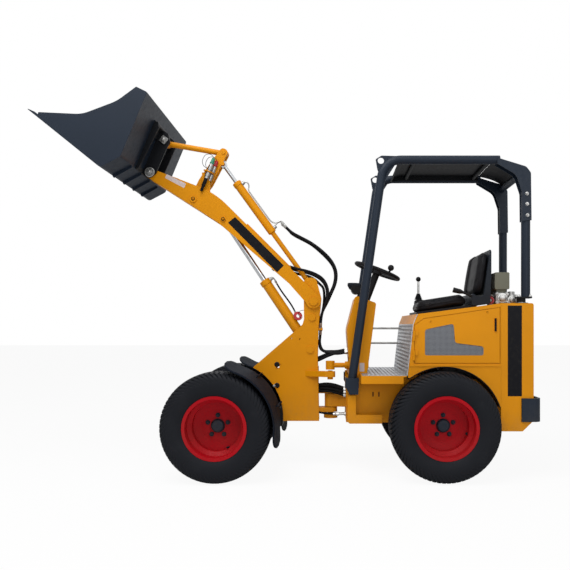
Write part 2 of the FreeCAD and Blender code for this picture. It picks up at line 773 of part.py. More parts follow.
def tilt_cylinder():
    base = (s.tilt_base_x, s.tilt_base_z)
    eye = (s.tilt_eye_x, s.tilt_eye_z)
    start, end = s.tilt_barrel_start, s.tilt_barrel_end
    bore, outer = s.tilt_bore, s.tilt_bore + s.tilt_wall
    gland = s.tilt_rod + s.slide_play
    barrel("tilt_cylinder_barrel", base, eye, [
        (20, 0), (20, s.tilt_stem), (start - 6, s.tilt_stem), (start, outer, 4), (end - 34, outer),
        (end - 34, outer + 3, 2), (end - 4, outer + 3, 2), (end, 24), (end, gland),
        (end - 34, gland), (end - 34, bore), (start + 8, bore), (start + 8, 0),
    ], s.tilt_pin, 38)
    long = length(eye[0] - base[0], eye[1] - base[1])
    angle = bearing(eye[0] - base[0], eye[1] - base[1])
    inner = start + 138
    shaft = turned([
        (inner, 0), (inner, bore - s.slide_play), (inner + 24, bore - s.slide_play),
        (inner + 24, s.tilt_rod), (long - 20, s.tilt_rod), (long - 20, 0),
    ])
    head = cross_rod(long, 0, 27, -s.lever_gap + 3, s.lever_gap - 3)
    return node("tilt_cylinder_rod", place(grouped(fused(shaft, head)), base[0], 0, base[1],
                                           (0, 1, 0), -angle))


def steering_cylinder():
    """A short cylinder under the dash cowl, between the platform and the steering arm."""
    eye_x, y, z = pivot_x - 3, -s.steer_arm, s.steer_height
    outer, bore = s.steer_barrel, s.steer_barrel - 5
    gland = s.steer_rod + s.slide_play
    start, end = eye_x + 105, eye_x + 270
    shell = turned([
        (start, gland), (start, 22), (start + 4, outer, 2), (end, outer, 4), (end + 6, 18),
        (end + 6, 0), (end - 8, 0), (end - 8, bore), (start + 12, bore), (start + 12, gland),
    ])
    node("steering_cylinder_barrel", place(shell, 0, y, z))
    shaft = turned([
        (18, 0), (18, s.steer_rod), (183.5, s.steer_rod), (183.5, bore - s.slide_play),
        (195.5, bore - s.slide_play), (195.5, 0),
    ])
    head = rod("z", 0, 0, -31, 32, 62)
    return node("steering_cylinder_rod", place(grouped(fused(shaft, head)), eye_x, y, z))


# ---------------------------------------------------------------- bucket and coupler

def bucket():
    """Floor, heel, back and top rail as one bent plate, two cheeks, lip and heel ribs."""
    low, front, back, high = -s.bucket_floor, -s.bucket_reach, -s.bucket_back, s.bucket_tall
    metal, cheek = s.bucket_metal, s.bucket_cheek
    half = s.bucket_width / 2
    heel = back - 60
    head = back - 126
    shell = side_plate([
        (front + 17, low), (heel, low, 30), (back, -44, 30), (head, high, 6), (head - 76, high - 18),
        (head - 74, high - 28), (head - 5, high - 13, 4), (back - 11, -46, 24),
        (heel - 6, low + metal, 24), (front + 17, low + metal),
    ], -half + cheek, half - cheek)
    side = side_plate([
        (front + 20, low), (heel, low, 30), (back, -44, 30), (head, high, 12),
        (head - 78, high - 18, 8), (head - 118, high - 170, 300), (front + 230, 14, 220),
        (front, low + 28, 6),
    ], half - cheek, half)
    lip = side_plate([
        (front - s.lip_reach, low), (front + 60, low), (front + 60, low + metal + 6),
        (front - 20, low + metal + 6), (front - s.lip_reach, low + 4)], -half, half)
    shell = cut(shell, block((front - 200, front + 60), (-half, half), (low - 5, low + metal + 6)))
    ribs = []
    for y in (-330, -110, 110, 330):
        ribs.append(side_plate([(heel - 8, low + 6), (heel + 16, low - 6, 6), (back + 12, -50, 6),
                                (back - 8, -44)], y - 5, y + 5))
    side_trim = cut(side, block((front - 200, front + 60), (half - cheek - 1, half + 1),
                                (low - 5, low + metal + 6)))
    whole = fused(shell, side_trim, mirrored(side_trim), lip, *ribs)
    placed = place(grouped(whole), s.bucket_pin_x, 0, s.bucket_pin_z, (0, 1, 0), s.bucket_curl)
    return node("bucket", placed)


def bucket_back(z):
    """Where the bucket's slanted back lies at a height, in the bucket's own frame."""
    return -s.bucket_back - 126 * (size(z) + 44) / (s.bucket_tall + 44) + s.face_gap


def quick_coupler():
    """The carrier frame behind the bucket, with both pins and the hooks that hold it."""
    turn = s.bucket_curl
    dx, dz = s.link_end_x - s.bucket_pin_x, s.link_end_z - s.bucket_pin_z
    nx = dx * cosine(turn) - dz * sine(turn)
    nz = dx * sine(turn) + dz * cosine(turn)
    inner, outer = boom_out + 5, boom_out + 21

    def plate(points, low, high, **more):
        """A plate whose first two corners lie on the bucket's back."""
        seat = [(bucket_back(z), z) for z in points[:2]]
        return side_plate(seat + points[2:], low, high, **more)

    wing = plate([nz + 54, -38, (24, -36, 22), (36, 20, 30), (nx + 36, nz + 24, 30),
                  (nx - 6, nz + 54, 20)], inner, outer, holes=[(nx, nz, s.tilt_pin)])
    lower = cross_rod(0, 0, s.bucket_pin - s.pin_play, -outer - 4, outer + 4)
    lower_head = cross_rod(0, 0, s.bucket_pin + 8, outer, outer + 8)
    upper_stub = cross_rod(nx, nz, s.tilt_pin, 31, outer + 10)
    inner_ear = plate([nz + 40, nz - 34, (nx + 26, nz - 26, 24), (nx + 26, nz + 28, 24)], 27, 39,
                      holes=[(nx, nz, s.tilt_pin)])
    bar = plate([nz + 34, nz - 30, (bucket_back(nz - 30) + 12, nz - 30),
                 (bucket_back(nz + 34) + 12, nz + 34)], 39, 260)
    rail = cross_rod(bucket_back(nz + 46) + 18, nz + 46, 16, 39, 260)
    foot = plate([-14, -44, (bucket_back(-44) + 12, -44), (bucket_back(-14) + 6, -14)], -260, 260)
    hook = plate([nz + 62, -36, (bucket_back(-36) + 20, -30, 8), (nx - 22, nz + 40, 10)], 244, 260)
    slab = fused(*both(wing), lower, *both(lower_head), *both(upper_stub), *both(inner_ear),
                 *both(bar), *both(rail), foot, *both(hook))
    placed = place(grouped(slab), s.bucket_pin_x, 0, s.bucket_pin_z, (0, 1, 0), turn)
    return node("quick_coupler", placed)


# ---------------------------------------------------------------- rear frame and platform

def rear_frame():
    """Two side members, a nose with the pivot bearing, a floor and the post sockets."""
    low, top = s.frame_low, s.floor_top - s.floor_metal
    half, inner = s.frame_half, frame_in
    nose = size(384)
    tail = s.tail_rear - 70
    side = side_plate([
        (nose, low + 4), (nose + 16, low), (tail, low), (tail, top - 60), (s.floor_rear + 200, top),
        (nose, top)], inner, half)
    notch = block((rear_axle_x - 60 - s.face_gap, rear_axle_x + 60 + s.face_gap), (-400, 400),
                  (low - 20, axle_z + 60 + s.face_gap))
    nose_wall = block((nose, nose + 12), (-inner, inner), (low, 640))
    floor_front = block((nose, rear_axle_x - 90), (-inner, inner), (low, low + 8))
    floor_rear = block((rear_axle_x + 90, tail), (-inner, inner), (low, low + 8))
    bearing_block = flat_plate(
        [(nose, -58), (pivot_x + 60, -46), (pivot_x, -46), (pivot_x - 44, -40, 36),
         (pivot_x - 44, 40, 36), (pivot_x, 46), (pivot_x + 60, 46), (nose, 58)],
        s.pivot_lug_low, s.pivot_lug_high,
        holes=[(pivot_x, 0, s.pivot_pin + s.pin_play)])
    # a folded box along the foot of the wall: front flange, bottom flange and their returns
    reach = half + 60
    sill = block((nose + 22, rear_axle_x - 395), (half, reach), (low, low + 8))
    flange = block((nose + 8, nose + 16), (half, reach), (low + 14, 546))
    fold = side_plate([
        (nose + 8, low + 14, 8), (nose + 22, low, 8), (rear_axle_x - 395, low),
        (rear_axle_x - 395, low + 60), (nose + 66, low + 60), (nose + 66, 546), (nose + 8, 546)],
        reach - 6, reach)
    frame = fused(*both(side), nose_wall, floor_front, floor_rear, bearing_block,
                  *both(sill), *both(flange), *both(fold))
    return node("rear_frame", cut(frame, notch))


def platform():
    """The operator's floor: a pan with a deep lip, and the plate of the steering cylinder."""
    front, rear, top = s.floor_front, s.floor_rear, s.floor_top
    low = top - s.floor_lip
    half = s.body_half
    pan = block((front, rear), (-half, half), (top - s.floor_metal, top))
    lip = block((front, rear - 22), (half - 10, half), (low, top))
    nose = block((front, front + 8), (s.frame_half + 100, half), (low, top))
    neck = block((400, front), (-frame_in, frame_in), (top - s.floor_metal, top))
    # the plate that holds the steering cylinder's barrel, inside the dash cowl
    y = -s.steer_arm
    bracket = block((500, 512), (y - 34, y + 34), (top, s.steer_height + 34))
    seat = rod("x", 490, y, s.steer_height, s.steer_barrel + s.face_gap, 40)
    return node("platform", fused(pan, *both(lip), *both(nose), neck, cut(bracket, seat)))


def riser():
    """The chequered front of the engine cover: upright, then leaning back to the seat."""
    front, top = s.floor_rear, s.floor_top
    half = s.body_half
    plate = side_plate([
        (front, top), (front + 40, top + 346), (front + 67, top + 412), (front + 71, top + 410),
        (front + 44, top + 345), (front + 4, top)], -half, half)
    return node("riser_plate", plate)


# ---------------------------------------------------------------- engine cover and doors

def hood_edge():
    """Where the sloping top of the engine cover begins and ends, outside."""
    return (s.floor_rear + 71.5, s.floor_top + 412.5), (s.hood_rear, s.tail_high - 2)


def hood_top(x):
    """Height of the engine cover's sloping top."""
    (fx, fz), (rx, rz) = hood_edge()
    return fz + (x - fx) * (rz - fz) / (rx - fx)


def door_corners(gap):
    """The door's outline, grown by a gap."""
    front, rear = s.floor_rear + 52 - gap, s.hood_rear - 8 + gap
    return [
        (front, s.seam_height + 13 - gap), (front, s.floor_top + 336 + gap),
        (s.floor_rear + 111, s.floor_top + 380 + gap), (rear, s.tail_high - 30 + gap),
        (rear, s.seam_height + 13 - gap),
    ]


def engine_hood():
    """A folded cover: sloping top, sides with door openings, arches and hinge knuckles."""
    (fx, fz), (rx, rz) = hood_edge()
    half, inner = s.body_half, body_in
    arch = arch_radius - 13
    start_x, start_z = on_arch(rear_arch_x, arch, 126)
    end_x, end_z = on_arch(rear_arch_x, arch, 18)
    front = s.floor_rear + 4
    outline = [
        (front + 4, start_z), (start_x, start_z), (end_x, end_z), (rx, end_z), (rx, rz - 8),
        (fx, fz - 8), (front + 40.5, s.floor_top + 346), (front + 4, s.floor_top + 14),
    ]
    side = side_plate(outline, inner, half, arcs={1: (rear_arch_x, axle_z, arch)},
                      cuts=[door_corners(s.door_gap)])
    top = side_plate([(fx, fz), (fx, fz - 8), (rx, rz - 8), (rx, rz)], -half, half)
    seam = block((front + 14, rx), (half, half + 4), (s.seam_height - 10, s.seam_height))
    stop = side_plate(door_corners(s.door_gap), inner - 6, inner,
                      cuts=[door_corners(-16)])
    fixed = []
    for z in (796.5, 926.5):
        fixed.append(rod("z", hinge_x(), hinge_y(), z, 7, 33))
        fixed.append(block((hinge_x() - 10, hinge_x()), (half, hinge_y()), (z, z + 33)))
    left = fused(side, stop, seam, *fixed)
    return node("engine_hood", fused(*both(left), top))


def hinge_x():
    return s.floor_rear + 47


def hinge_y():
    return s.body_half + 8


def door(name, side):
    """A side door of the engine cover with its L-shaped vent and three hinge knuckles."""
    outline = door_corners(0)
    left, low = s.floor_rear + 120, s.seam_height + 64
    vent = [
        (left, low, 12), (left + 390, low, 12), (left + 390, low + 60, 20),
        (left + 201, low + 83, 20), (left + 191, low + 212, 16), (left, low + 172, 20)]
    outer = s.body_half
    skin = side_plate(outline, outer - 4, outer, cuts=[vent])
    rim_outline = door_corners(0)
    fold = side_plate(rim_outline, outer - s.door_metal + 5, outer - 4, cuts=[door_corners(-6)])
    mesh = side_plate([(left - 14, low - 14), (left + 404, low - 14), (left + 404, low + 70),
                       (left + 215, low + 95), (left + 203, low + 228), (left - 14, low + 186)],
                      outer - 6, outer - 4)
    knuckles = [rod("z", hinge_x(), hinge_y(), z, 7, 34) for z in (830, 960)]
    straps = [block((hinge_x(), hinge_x() + 26), (outer, hinge_y()), (z, z + 34))
              for z in (830, 960)]
    handle = block((s.hood_rear - 44, s.hood_rear - 30), (outer, outer + 5), (985, 1080))
    leaf = fused(skin, fold, mesh, *knuckles, *straps, handle)
    if side < 0:
        leaf = mirrored(leaf)
    return node(name, leaf)


# ---------------------------------------------------------------- tail

def tail():
    """The tall rear housing of the radiator, open under, chamfered at its rear foot."""
    half, inner = s.body_half, s.body_half - s.skin
    front, rear, high = s.hood_rear + 0.6, s.tail_rear, s.tail_high
    low = size(395)
    side = side_plate([
        (front, low - 72), (rear - 73, low - 72), (rear, low), (rear, high, 14), (front, high)],
        inner, half)
    top = side_plate([(front, high - 6), (rear - 6, high - 6), (rear - 6, low + 100), (rear, low + 100),
                      (rear, high, 14), (front, high)], -inner, inner)
    window = block((rear - 20, rear + 20), (-330, 330), (640, 1060))
    return node("tail_housing", cut(fused(*both(side), top), window))


def tail_grille():
    """A frame of level louvres over the radiator."""
    rear = s.tail_rear
    bars = [block((rear - 14, rear - 6), (-330, 330), (z, z + 12)) for z in range(652, 1050, 36)]
    left = block((rear - 14, rear - 6), (-345, -318), (625, 1075))
    low = block((rear - 14, rear - 6), (-345, 345), (625, 645))
    high = block((rear - 14, rear - 6), (-345, 345), (1055, 1075))
    middle = block((rear - 14, rear - 6), (-10, 10), (625, 1075))
    return node("radiator_grille", fused(*bars, *both(left), low, high, middle))


def engine():
    """The engine as one block with its sump, on the frame."""
    body = block((1080, 1370), (-150, 150), (640, 960))
    sump = block((1120, 1330), (-110, 110), (520, 640))
    feet = block((1140, 1200), (-frame_in, frame_in), (600, 640))
    return node("engine_block", fused(body, sump, feet))


def bumper():
    """A bent plate across the tail with rounded ends, and a hitch with its pin holes."""
    low, high = s.bumper_low, s.bumper_high
    face = s.tail_rear + 52
    inner = face - 14
    outer_y, inner_y = s.body_half + 12.3, s.body_half + s.face_gap
    plate = flat_plate([
        (face - 134, -outer_y, 4), (face, -outer_y, 50), (face, outer_y, 50), (face - 134, outer_y, 4),
        (face - 134, inner_y), (inner, inner_y, 36), (inner, -inner_y, 36), (face - 134, -inner_y)],
        low, high)
    mouth = block((inner - 10, face + 10), (-50, 50), (low + 56, low + 92))
    arm = block((s.tail_rear - 82, inner), (frame_in - 40, frame_in - 4), (low + 40, low + 100))
    shelves = [
        flat_plate([(inner, -62), (inner, 62), (inner - 70, 62), (inner - 70, -62)],
                   z, z + 12, holes=[(inner - 34, 0, s.hitch_hole)])
        for z in (low + 44, low + 92)]
    return node("rear_bumper", fused(cut(plate, mouth), *both(arm), *shelves))


def arch_liners():
    """The black liners over the rear tyres, from the side members out to the body's skin."""
    outer = arch_radius - 13 - s.face_gap
    inner = outer - 5
    cx = rear_arch_x
    a, b = 128, 18
    points = [on_arch(cx, inner, a), on_arch(cx, inner, b), on_arch(cx, outer, b),
              on_arch(cx, outer, a)]
    liner = side_plate(points, s.frame_half, s.body_half,
                       arcs={0: (cx, axle_z, inner), 2: (cx, axle_z, outer)})
    return node("rear_arches", grouped(*both(liner)))


# ---------------------------------------------------------------- operator's place

def dash_cowl():
    """The upright console: a bent sheet, open below, with a sloping top."""
    half = s.cowl_half
    top = s.floor_top
    outside = [(411, top), (388, 1000, 120), (449, 1239, 18), (595, 1187, 18), (538, top + 46, 30),
               (530, top)]
    inside = [(417, top), (394, 1000, 116), (454, 1231, 12), (588, 1183, 12), (532, top + 46, 24),
              (524, top)]
    shell = side_plate(outside, -half, half)
    hollow = side_plate(inside, -half + 6, half - 6)
    window = block((350, 440), (-150, 150), (top - 1, 800))
    slot = block((500, 560), (-134, -66), (705, 781))
    return node("dash_cowl", cut(shell, hollow, window, slot))


def cowl_top(x):
    """Height of the cowl's sloping top, with a seam's gap above it."""
    return 1239 - (size(x) - 449) * 52 / 146 + s.face_gap


def gauge():
    """A round instrument in a pod on the cowl's sloping top."""
    pod = rod("y", 462, -68, 1296, 38, 136)
    foot = side_plate([(472, cowl_top(472)), (505, cowl_top(505)), (505, 1262, 8), (472, 1280)],
                      -40, 40)
    return node("gauge_pod", fused(pod, foot))


def steering():
    """The column from the cowl to the wheel, and the wheel with its spokes and spinner knob."""
    lean = s.steering_tilt
    column = DOC.addObject("Part::Cylinder", fresh("rod"))
    bind(column, "Radius", 26)
    bind(column, "Height", 217.7)
    place(column, s.wheel_x - 240 * sine(lean), 0, s.wheel_z - 240 * cosine(lean), (0, 1, 0), lean)
    under = side_plate([(440, 1100), (640, 1100), (640, cowl_top(640)), (440, cowl_top(440))],
                       -100, 100)
    node("steering_column", cut(column, under))
    ring = DOC.addObject("Part::Torus", fresh("ring"))
    bind(ring, "Radius1", s.steering_rim - 13)
    bind(ring, "Radius2", 13)
    hub = rod("z", 0, 0, -22, 42, 30)
    spokes = []
    for angle in (90, 210, 330):
        spoke = block((0, s.steering_rim - 16), (-12, 12), (-8, 0))
        place(spoke, 12 * sine(angle), -12 * cosine(angle), -8, (0, 0, 1), angle)
        spokes.append(spoke)
    knob_x = (s.steering_rim - 13) * cosine(62)
    knob_y = -(s.steering_rim - 13) * sine(62)
    stem = rod("z", knob_x, knob_y, 0, 7, 30)
    knob = DOC.addObject("Part::Sphere", fresh("knob"))
    bind(knob, "Radius", 22)
    place(knob, knob_x, knob_y, 42)
    wheel_set = grouped(fused(ring, hub, *spokes, stem, knob))
    return node("steering_wheel", place(wheel_set, s.wheel_x, 0, s.wheel_z, (0, 1, 0), lean))


def seat():
    """A steel pan and back frame with two upholstered pads."""
    half = s.seat_half
    lift = s.face_gap
    pan = side_plate([
        (880, hood_top(880) + lift), (1300, hood_top(1300) + lift), (1352, 1200, 30), (1405, 1560),
        (1395, 1562), (1342, 1208, 24), (1290, 1178), (880, 1124)], -half + 25, half - 25)
    node("seat_frame", pan)
    cushion = side_plate([
        (866, 1122.6, 16), (880, 1206, 26), (1215, 1256, 40), (1262, 1222, 20), (1254, 1173.6, 16)],
        -half, half)
    node("seat_cushion", cushion)
    back = side_plate([
        (1286, 1262, 14), (1322, 1236, 8), (1345.7, 1236, 4), (1392.4, 1548, 12), (1364, 1566, 16),
        (1336, 1540, 20)], -half, half)
    return node("seat_backrest", back)


def controls():
    """The joystick console to the right of the seat, and its lever with a ball."""
    box = side_plate([
        (928, hood_top(928) + s.face_gap), (1090, hood_top(1090) + s.face_gap), (1090, 1222, 10),
        (928, 1230, 20)], 245, 315)
    node("control_console", box)
    boot = DOC.addObject("Part::Cone", fresh("boot"))
    bind(boot, "Radius1", 26)
    bind(boot, "Radius2", 9)
    bind(boot, "Height", 42)
    place(boot, 957, 280, 1229.8)
    stem = rod("z", 957, 280, 1262, 7, 115)
    ball = DOC.addObject("Part::Sphere", fresh("ball"))
    bind(ball, "Radius", 19)
    place(ball, 957, 280, 1389)
    return node("control_lever", fused(boot, stem, ball))


def guard_rails():
    """Two level rods that close the right side of the operator's place."""
    y = s.post_half
    rails = []
    for z in (892, 1007):
        start = 423 + (z - 600) * tangent(s.post_lean) + s.post_radius + 0.8
        end = s.floor_rear + (z - s.floor_top) * 40 / 346 - 1.3
        rails.append(rod("x", start, y, z, 8, size(end) - start))
    return node("guard_rails", grouped(*rails))


def behind_seat():
    """The tool box and the silencer behind the seat."""
    low, high = size(1284), size(1404)
    box = side_plate([(1434, low, 10), (1537, low, 10), (1537, high, 10), (1434, high, 10)], -200, 120)
    legs = [block((1450, 1520), (y, y + 12), (s.tail_high, low)) for y in (-180, 90)]
    node("tool_box", fused(box, *legs))
    drum = turned([(-150, 0), (-150, 28, 12), (-140, 40, 10), (140, 40, 10), (150, 28, 12), (150, 0)])
    place(drum, 1582, 90, 1236, (0, 0, 1), 90)
    pipe = rod("z", 1582, 150, s.tail_high, 20, 60)
    return node("silencer", fused(drum, pipe))


# ---------------------------------------------------------------- canopy

def canopy_side(name, side):
    """A front post, leaning back, bent into the top rail, with its lifting eye and foot."""
    y = side * s.post_half
    foot_x, foot_z = size(423), size(652)
    top_z = s.canopy_high - s.post_radius
    bend_x = foot_x + (top_z - foot_z) * tangent(s.post_lean)
    start = (foot_x + 5 * tangent(s.post_lean), foot_z + 5)
    tube = bent_tube([start, (bend_x, top_z, s.bend_radius), (1440, top_z)], y, s.post_radius)
    near, far = s.frame_half + s.face_gap, s.post_half + 47
    low, high = foot_z - 96, foot_z + 14
    socket = side_plate([
        (foot_x - 18, low), (foot_x + 42, low), (foot_x + 47, high), (foot_x - 47, high),
        (foot_x - 47, low + 50, 8)], near, far)
    if side < 0:
        socket = mirrored(socket)
    eye_x, eye_z = bend_x - 20, top_z - 6
    web = side_plate([
        (eye_x - 36, eye_z + 10, 8), (eye_x - 24, eye_z - 60), (bend_x - 14, top_z - 150),
        (bend_x + 10, top_z - 140), (bend_x + 100, top_z), (bend_x + 92, top_z + 26),
        (eye_x + 4, eye_z + 35, 20)], size(y) - 6, size(y) + 6)
    hole = cross_rod(eye_x, eye_z, s.eye_hole, size(y) - 60, size(y) + 60)
    return node(name, cut(fused(tube, socket, web), hole))


def rear_posts():
    """The rear hoop: two posts, their doubled corner plates and the tube between them."""
    x = size(1621)
    base = s.tail_high + 49
    gap = s.post_radius + s.face_gap
    posts = []
    for y in (-s.post_half, s.post_half):
        posts.append(rod("z", x, y, base, s.post_radius + 1, 720))
        outline = [
            (1418, 2179), (1616, 2118, 40), (1648, 2076, 30), (1652, 1750), (1590, 1745),
            (1588, 1938, 60), (1548, 2060, 80), (1418, 2138)]
        outer = side_plate(outline, y - gap - 5, y - gap)
        inner = side_plate(outline, y + gap, y + gap + 5)
        web = slanted_strip((1443, 2165), (1600, 2112), 6, s.post_radius + 1)
        bind(web, "Placement.Base.y", size(y) - s.post_radius - 1)
        posts += [outer, inner, web]
    cross = rod("y", 1604, -s.post_half, 2084, 24, 2 * s.post_half)
    return node("rear_posts", fused(*posts, cross))


def post_mounts():
    """Rubber mounts with bolted flanges under the rear posts."""
    mounts = []
    for y in (-s.post_half, s.post_half):
        low = rod("z", 1590, y, s.tail_high, 34, 8)
        foot = block((1552, 1627), (size(y) - 38, size(y) + 38), (s.tail_high, s.tail_high + 8))
        drum = rod("z", 1590, y, s.tail_high + 8, 30, 30)
        top = block((1555, 1655), (size(y) - 38, size(y) + 38), (s.tail_high + 38, s.tail_high + 49))
        mounts.append(fused(foot, drum, top))
    return node("post_mounts", grouped(*mounts))


def roof():
    """The flat roof with turned-down edges and a raked front skirt, between the top rails."""
    half = s.roof_half
    top = s.canopy_high - 10
    front, rear = 735, 1417.5
    skirt = s.roof_skirt
    outline = [(front, top - skirt - 10), (front + 14, top - 16, 30), (front + 70, top, 40),
               (rear, top), (rear, top - skirt), (front + 90, top - skirt)]
    inside = [(front + 6, top - skirt - 40), (front + 20, top - 20, 24),
              (front + 72, top - 5, 36), (rear + 40, top - 5), (rear + 40, top - skirt - 40)]
    shell = side_plate(outline, -half, half)
    hollow = side_plate(inside, -half + 5, half - 5)
    reach = s.post_half - s.post_radius - s.face_gap
    bars = [rod("y", x, -reach, s.canopy_high - 30, 14, 2 * reach) for x in (860, 1380)]
    return node("roof_panel", fused(cut(shell, hollow), *bars))


# ---------------------------------------------------------------- assembly

def build():
    rear_frame()
    rear_axle()
    engine()
    platform()
    riser()
    engine_hood()
    tail()
    tail_grille()
    bumper()
    arch_liners()
    dash_cowl()
    gauge()
    seat()
    controls()
    guard_rails()
    behind_seat()
    canopy_side("canopy_left_rail", -1)
    canopy_side("canopy_right_rail", 1)
    rear_posts()
    post_mounts()
    roof()
    door("left_engine_door", -1)
    door("right_engine_door", 1)
    steering()
    front_frame()
    front_axle()
    fender("front_left_fender", -1)
    fender("front_right_fender", 1)
    front_pins()
    wheels()
    boom()
    lever()
    tilt_link()
    lift_cylinder()
    tilt_cylinder()
    steering_cylinder()
    bucket()
    quick_coupler()


def write():
    """Check every object, then write each sub-part to its own file."""
    DOC.recompute()
    failed = [o.Name for o in DOC.Objects if "Invalid" in o.State or "Error" in o.State]
    if failed:
        raise RuntimeError(f"failed objects: {failed}")
    for name, part in PARTS:
        if part.Shape.isNull() or not part.Shape.isValid():
            raise RuntimeError(f"bad shape: {name}")
    os.makedirs("parts", exist_ok=True)
    for name, part in PARTS:
        part.Shape.exportStep(f"parts/{name}.step")


build()
write()
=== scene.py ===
import math

import bmesh
import bpy
import numpy as np
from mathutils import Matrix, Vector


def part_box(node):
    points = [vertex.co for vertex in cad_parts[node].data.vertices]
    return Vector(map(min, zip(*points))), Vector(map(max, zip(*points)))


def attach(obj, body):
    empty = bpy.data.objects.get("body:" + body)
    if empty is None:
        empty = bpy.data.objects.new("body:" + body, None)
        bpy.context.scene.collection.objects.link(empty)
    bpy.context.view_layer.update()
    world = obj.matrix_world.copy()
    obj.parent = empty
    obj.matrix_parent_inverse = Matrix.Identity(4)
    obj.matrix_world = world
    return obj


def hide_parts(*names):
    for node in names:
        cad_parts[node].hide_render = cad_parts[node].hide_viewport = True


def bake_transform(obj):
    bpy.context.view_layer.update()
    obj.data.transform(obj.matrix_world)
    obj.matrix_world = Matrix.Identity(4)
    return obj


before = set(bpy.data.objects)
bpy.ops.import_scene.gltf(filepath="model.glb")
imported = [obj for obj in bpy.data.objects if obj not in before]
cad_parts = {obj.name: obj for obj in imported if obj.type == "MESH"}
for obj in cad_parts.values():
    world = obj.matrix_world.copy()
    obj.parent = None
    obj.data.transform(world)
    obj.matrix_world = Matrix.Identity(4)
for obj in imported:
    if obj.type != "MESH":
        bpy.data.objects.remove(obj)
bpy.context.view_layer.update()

# ---------------------------------------------------------------- the studio
# A white floor running into a white background, a wide soft lamp overhead and a weaker one
# beside the camera.  The camera stands level with the dash, square to the machine's left.

scene = bpy.context.scene
scene.view_settings.view_transform = "Standard"

camera = bpy.data.objects.new("camera", bpy.data.cameras.new("camera"))
scene.collection.objects.link(camera)
scene.camera = camera
camera.location = (0.285, -4.82, 1.025)
camera.rotation_euler = (math.pi / 2, 0, 0)
camera.data.sensor_width = 36
camera.data.lens = 41.36
camera.data.shift_x = -0.0825
camera.data.shift_y = 0.0719
camera.data.clip_end = 100


class Socket:
    """A socket of a finish; sums written on it become Math nodes."""

    def __init__(self, finish, socket):
        self.finish, self.socket = finish, socket

    def math(self, operation, *others, flip=False):
        """A Math node on this socket and another value, in the other order when flipped."""
        values = (others[0], self) if flip else (self, *others)
        return self.finish.node("ShaderNodeMath", {"operation": operation}, dict(enumerate(values)))

    def __add__(self, other): return self.math("ADD", other)
    def __radd__(self, other): return self.math("ADD", other)
    def __sub__(self, other): return self.math("SUBTRACT", other)
    def __rsub__(self, other): return self.math("SUBTRACT", other, flip=True)
    def __mul__(self, other): return self.math("MULTIPLY", other)
    def __rmul__(self, other): return self.math("MULTIPLY", other)
    def __truediv__(self, other): return self.math("DIVIDE", other)
    def __pow__(self, other): return self.math("POWER", other)
    def __gt__(self, other): return self.math("GREATER_THAN", other)


class Finish:
    """A material built from nodes, on one Principled shader unless it is a bare tree."""

    def __init__(self, name, tree=None):
        if tree is None:
            self.material = bpy.data.materials.new(name)
            self.material.use_nodes = True
            tree = self.material.node_tree
        tree.nodes.clear()
        self.tree = tree

    def node(self, kind, settings=None, sockets=None, out=0):
        """Add a node with its settings, then its sockets' values or links; give one output."""
        made = self.tree.nodes.new(kind)
        for key, value in (settings or {}).items():
            if key == "stops":
                ramp = made.color_ramp.elements
                while len(ramp) < len(value):
                    ramp.new(0.5)
                for stop, (place, colour) in zip(ramp, value):
                    stop.position, stop.color = place, colour
            else:
                setattr(made, key, value)
        for key, value in (sockets or {}).items():
            if isinstance(value, Socket):
                self.tree.links.new(value.socket, made.inputs[key])
            else:
                made.inputs[key].default_value = value
        return Socket(self, made.outputs[out]) if made.outputs else None

    def mixed(self, share, first, second):
        """A colour that goes from the first to the second as share rises."""
        return self.node("ShaderNodeMix", {"data_type": "RGBA"}, {0: share, 6: first, 7: second}, 2)

    def ramp(self, value, low, high, start=0.0, end=1.0):
        """A smooth step of value from low to high."""
        return self.node("ShaderNodeMapRange", {"interpolation_type": "SMOOTHSTEP"},
                         {0: value, 1: low, 2: high, 3: start, 4: end})

    def noise(self, place, scale, detail=3.0, rough=0.55):
        """Cloudy noise, scale clouds to the metre."""
        return self.node("ShaderNodeTexNoise", {},
                         {"Vector": place, "Scale": scale, "Detail": detail, "Roughness": rough})

    def surface(self, **sockets):
        """The Principled shader, wired to the output."""
        named = {key.replace("_", " "): value for key, value in sockets.items()}
        shader = self.node("ShaderNodeBsdfPrincipled", {}, named)
        self.node("ShaderNodeOutputMaterial", {}, {"Surface": shader})
        return self.material


def colour(red, green, blue):
    """An opaque colour from its three shares."""
    return (red, green, blue, 1.0)


world = scene.world = bpy.data.worlds.new("studio")
world.use_nodes = True
sky = Finish("studio", world.node_tree)
seen = (sky.node("ShaderNodeLightPath", out="Is Camera Ray")
        + sky.node("ShaderNodeLightPath", out="Is Transmission Ray")
        + sky.node("ShaderNodeLightPath", out="Is Glossy Ray"))
level = sky.ramp(seen, 0.0, 1.0, 0.34, 1.0)
background = sky.node("ShaderNodeBackground", {}, {0: colour(1, 1, 1), 1: level})
sky.node("ShaderNodeOutputWorld", {}, {0: background})


def lamp(name, place, aim, size, watts):
    """A square soft lamp at a place, turned towards a point."""
    made = bpy.data.objects.new(name, bpy.data.lights.new(name, "AREA"))
    made.data.size, made.data.energy = size, watts
    made.location = place
    toward = np.array(aim, float) - np.array(place, float)
    yaw = math.atan2(toward[0], -toward[1])
    tilt = math.atan2(math.hypot(toward[0], toward[1]), -toward[2])
    made.rotation_euler = (tilt, 0, yaw + math.pi)
    scene.collection.objects.link(made)


lamp("overhead_lamp", (-1.2, -2.6, 5.5), (0, 0, 1.0), 4.0, 235)
lamp("side_lamp", (2.6, -5.4, 2.6), (0.3, 0, 0.9), 3.0, 60)


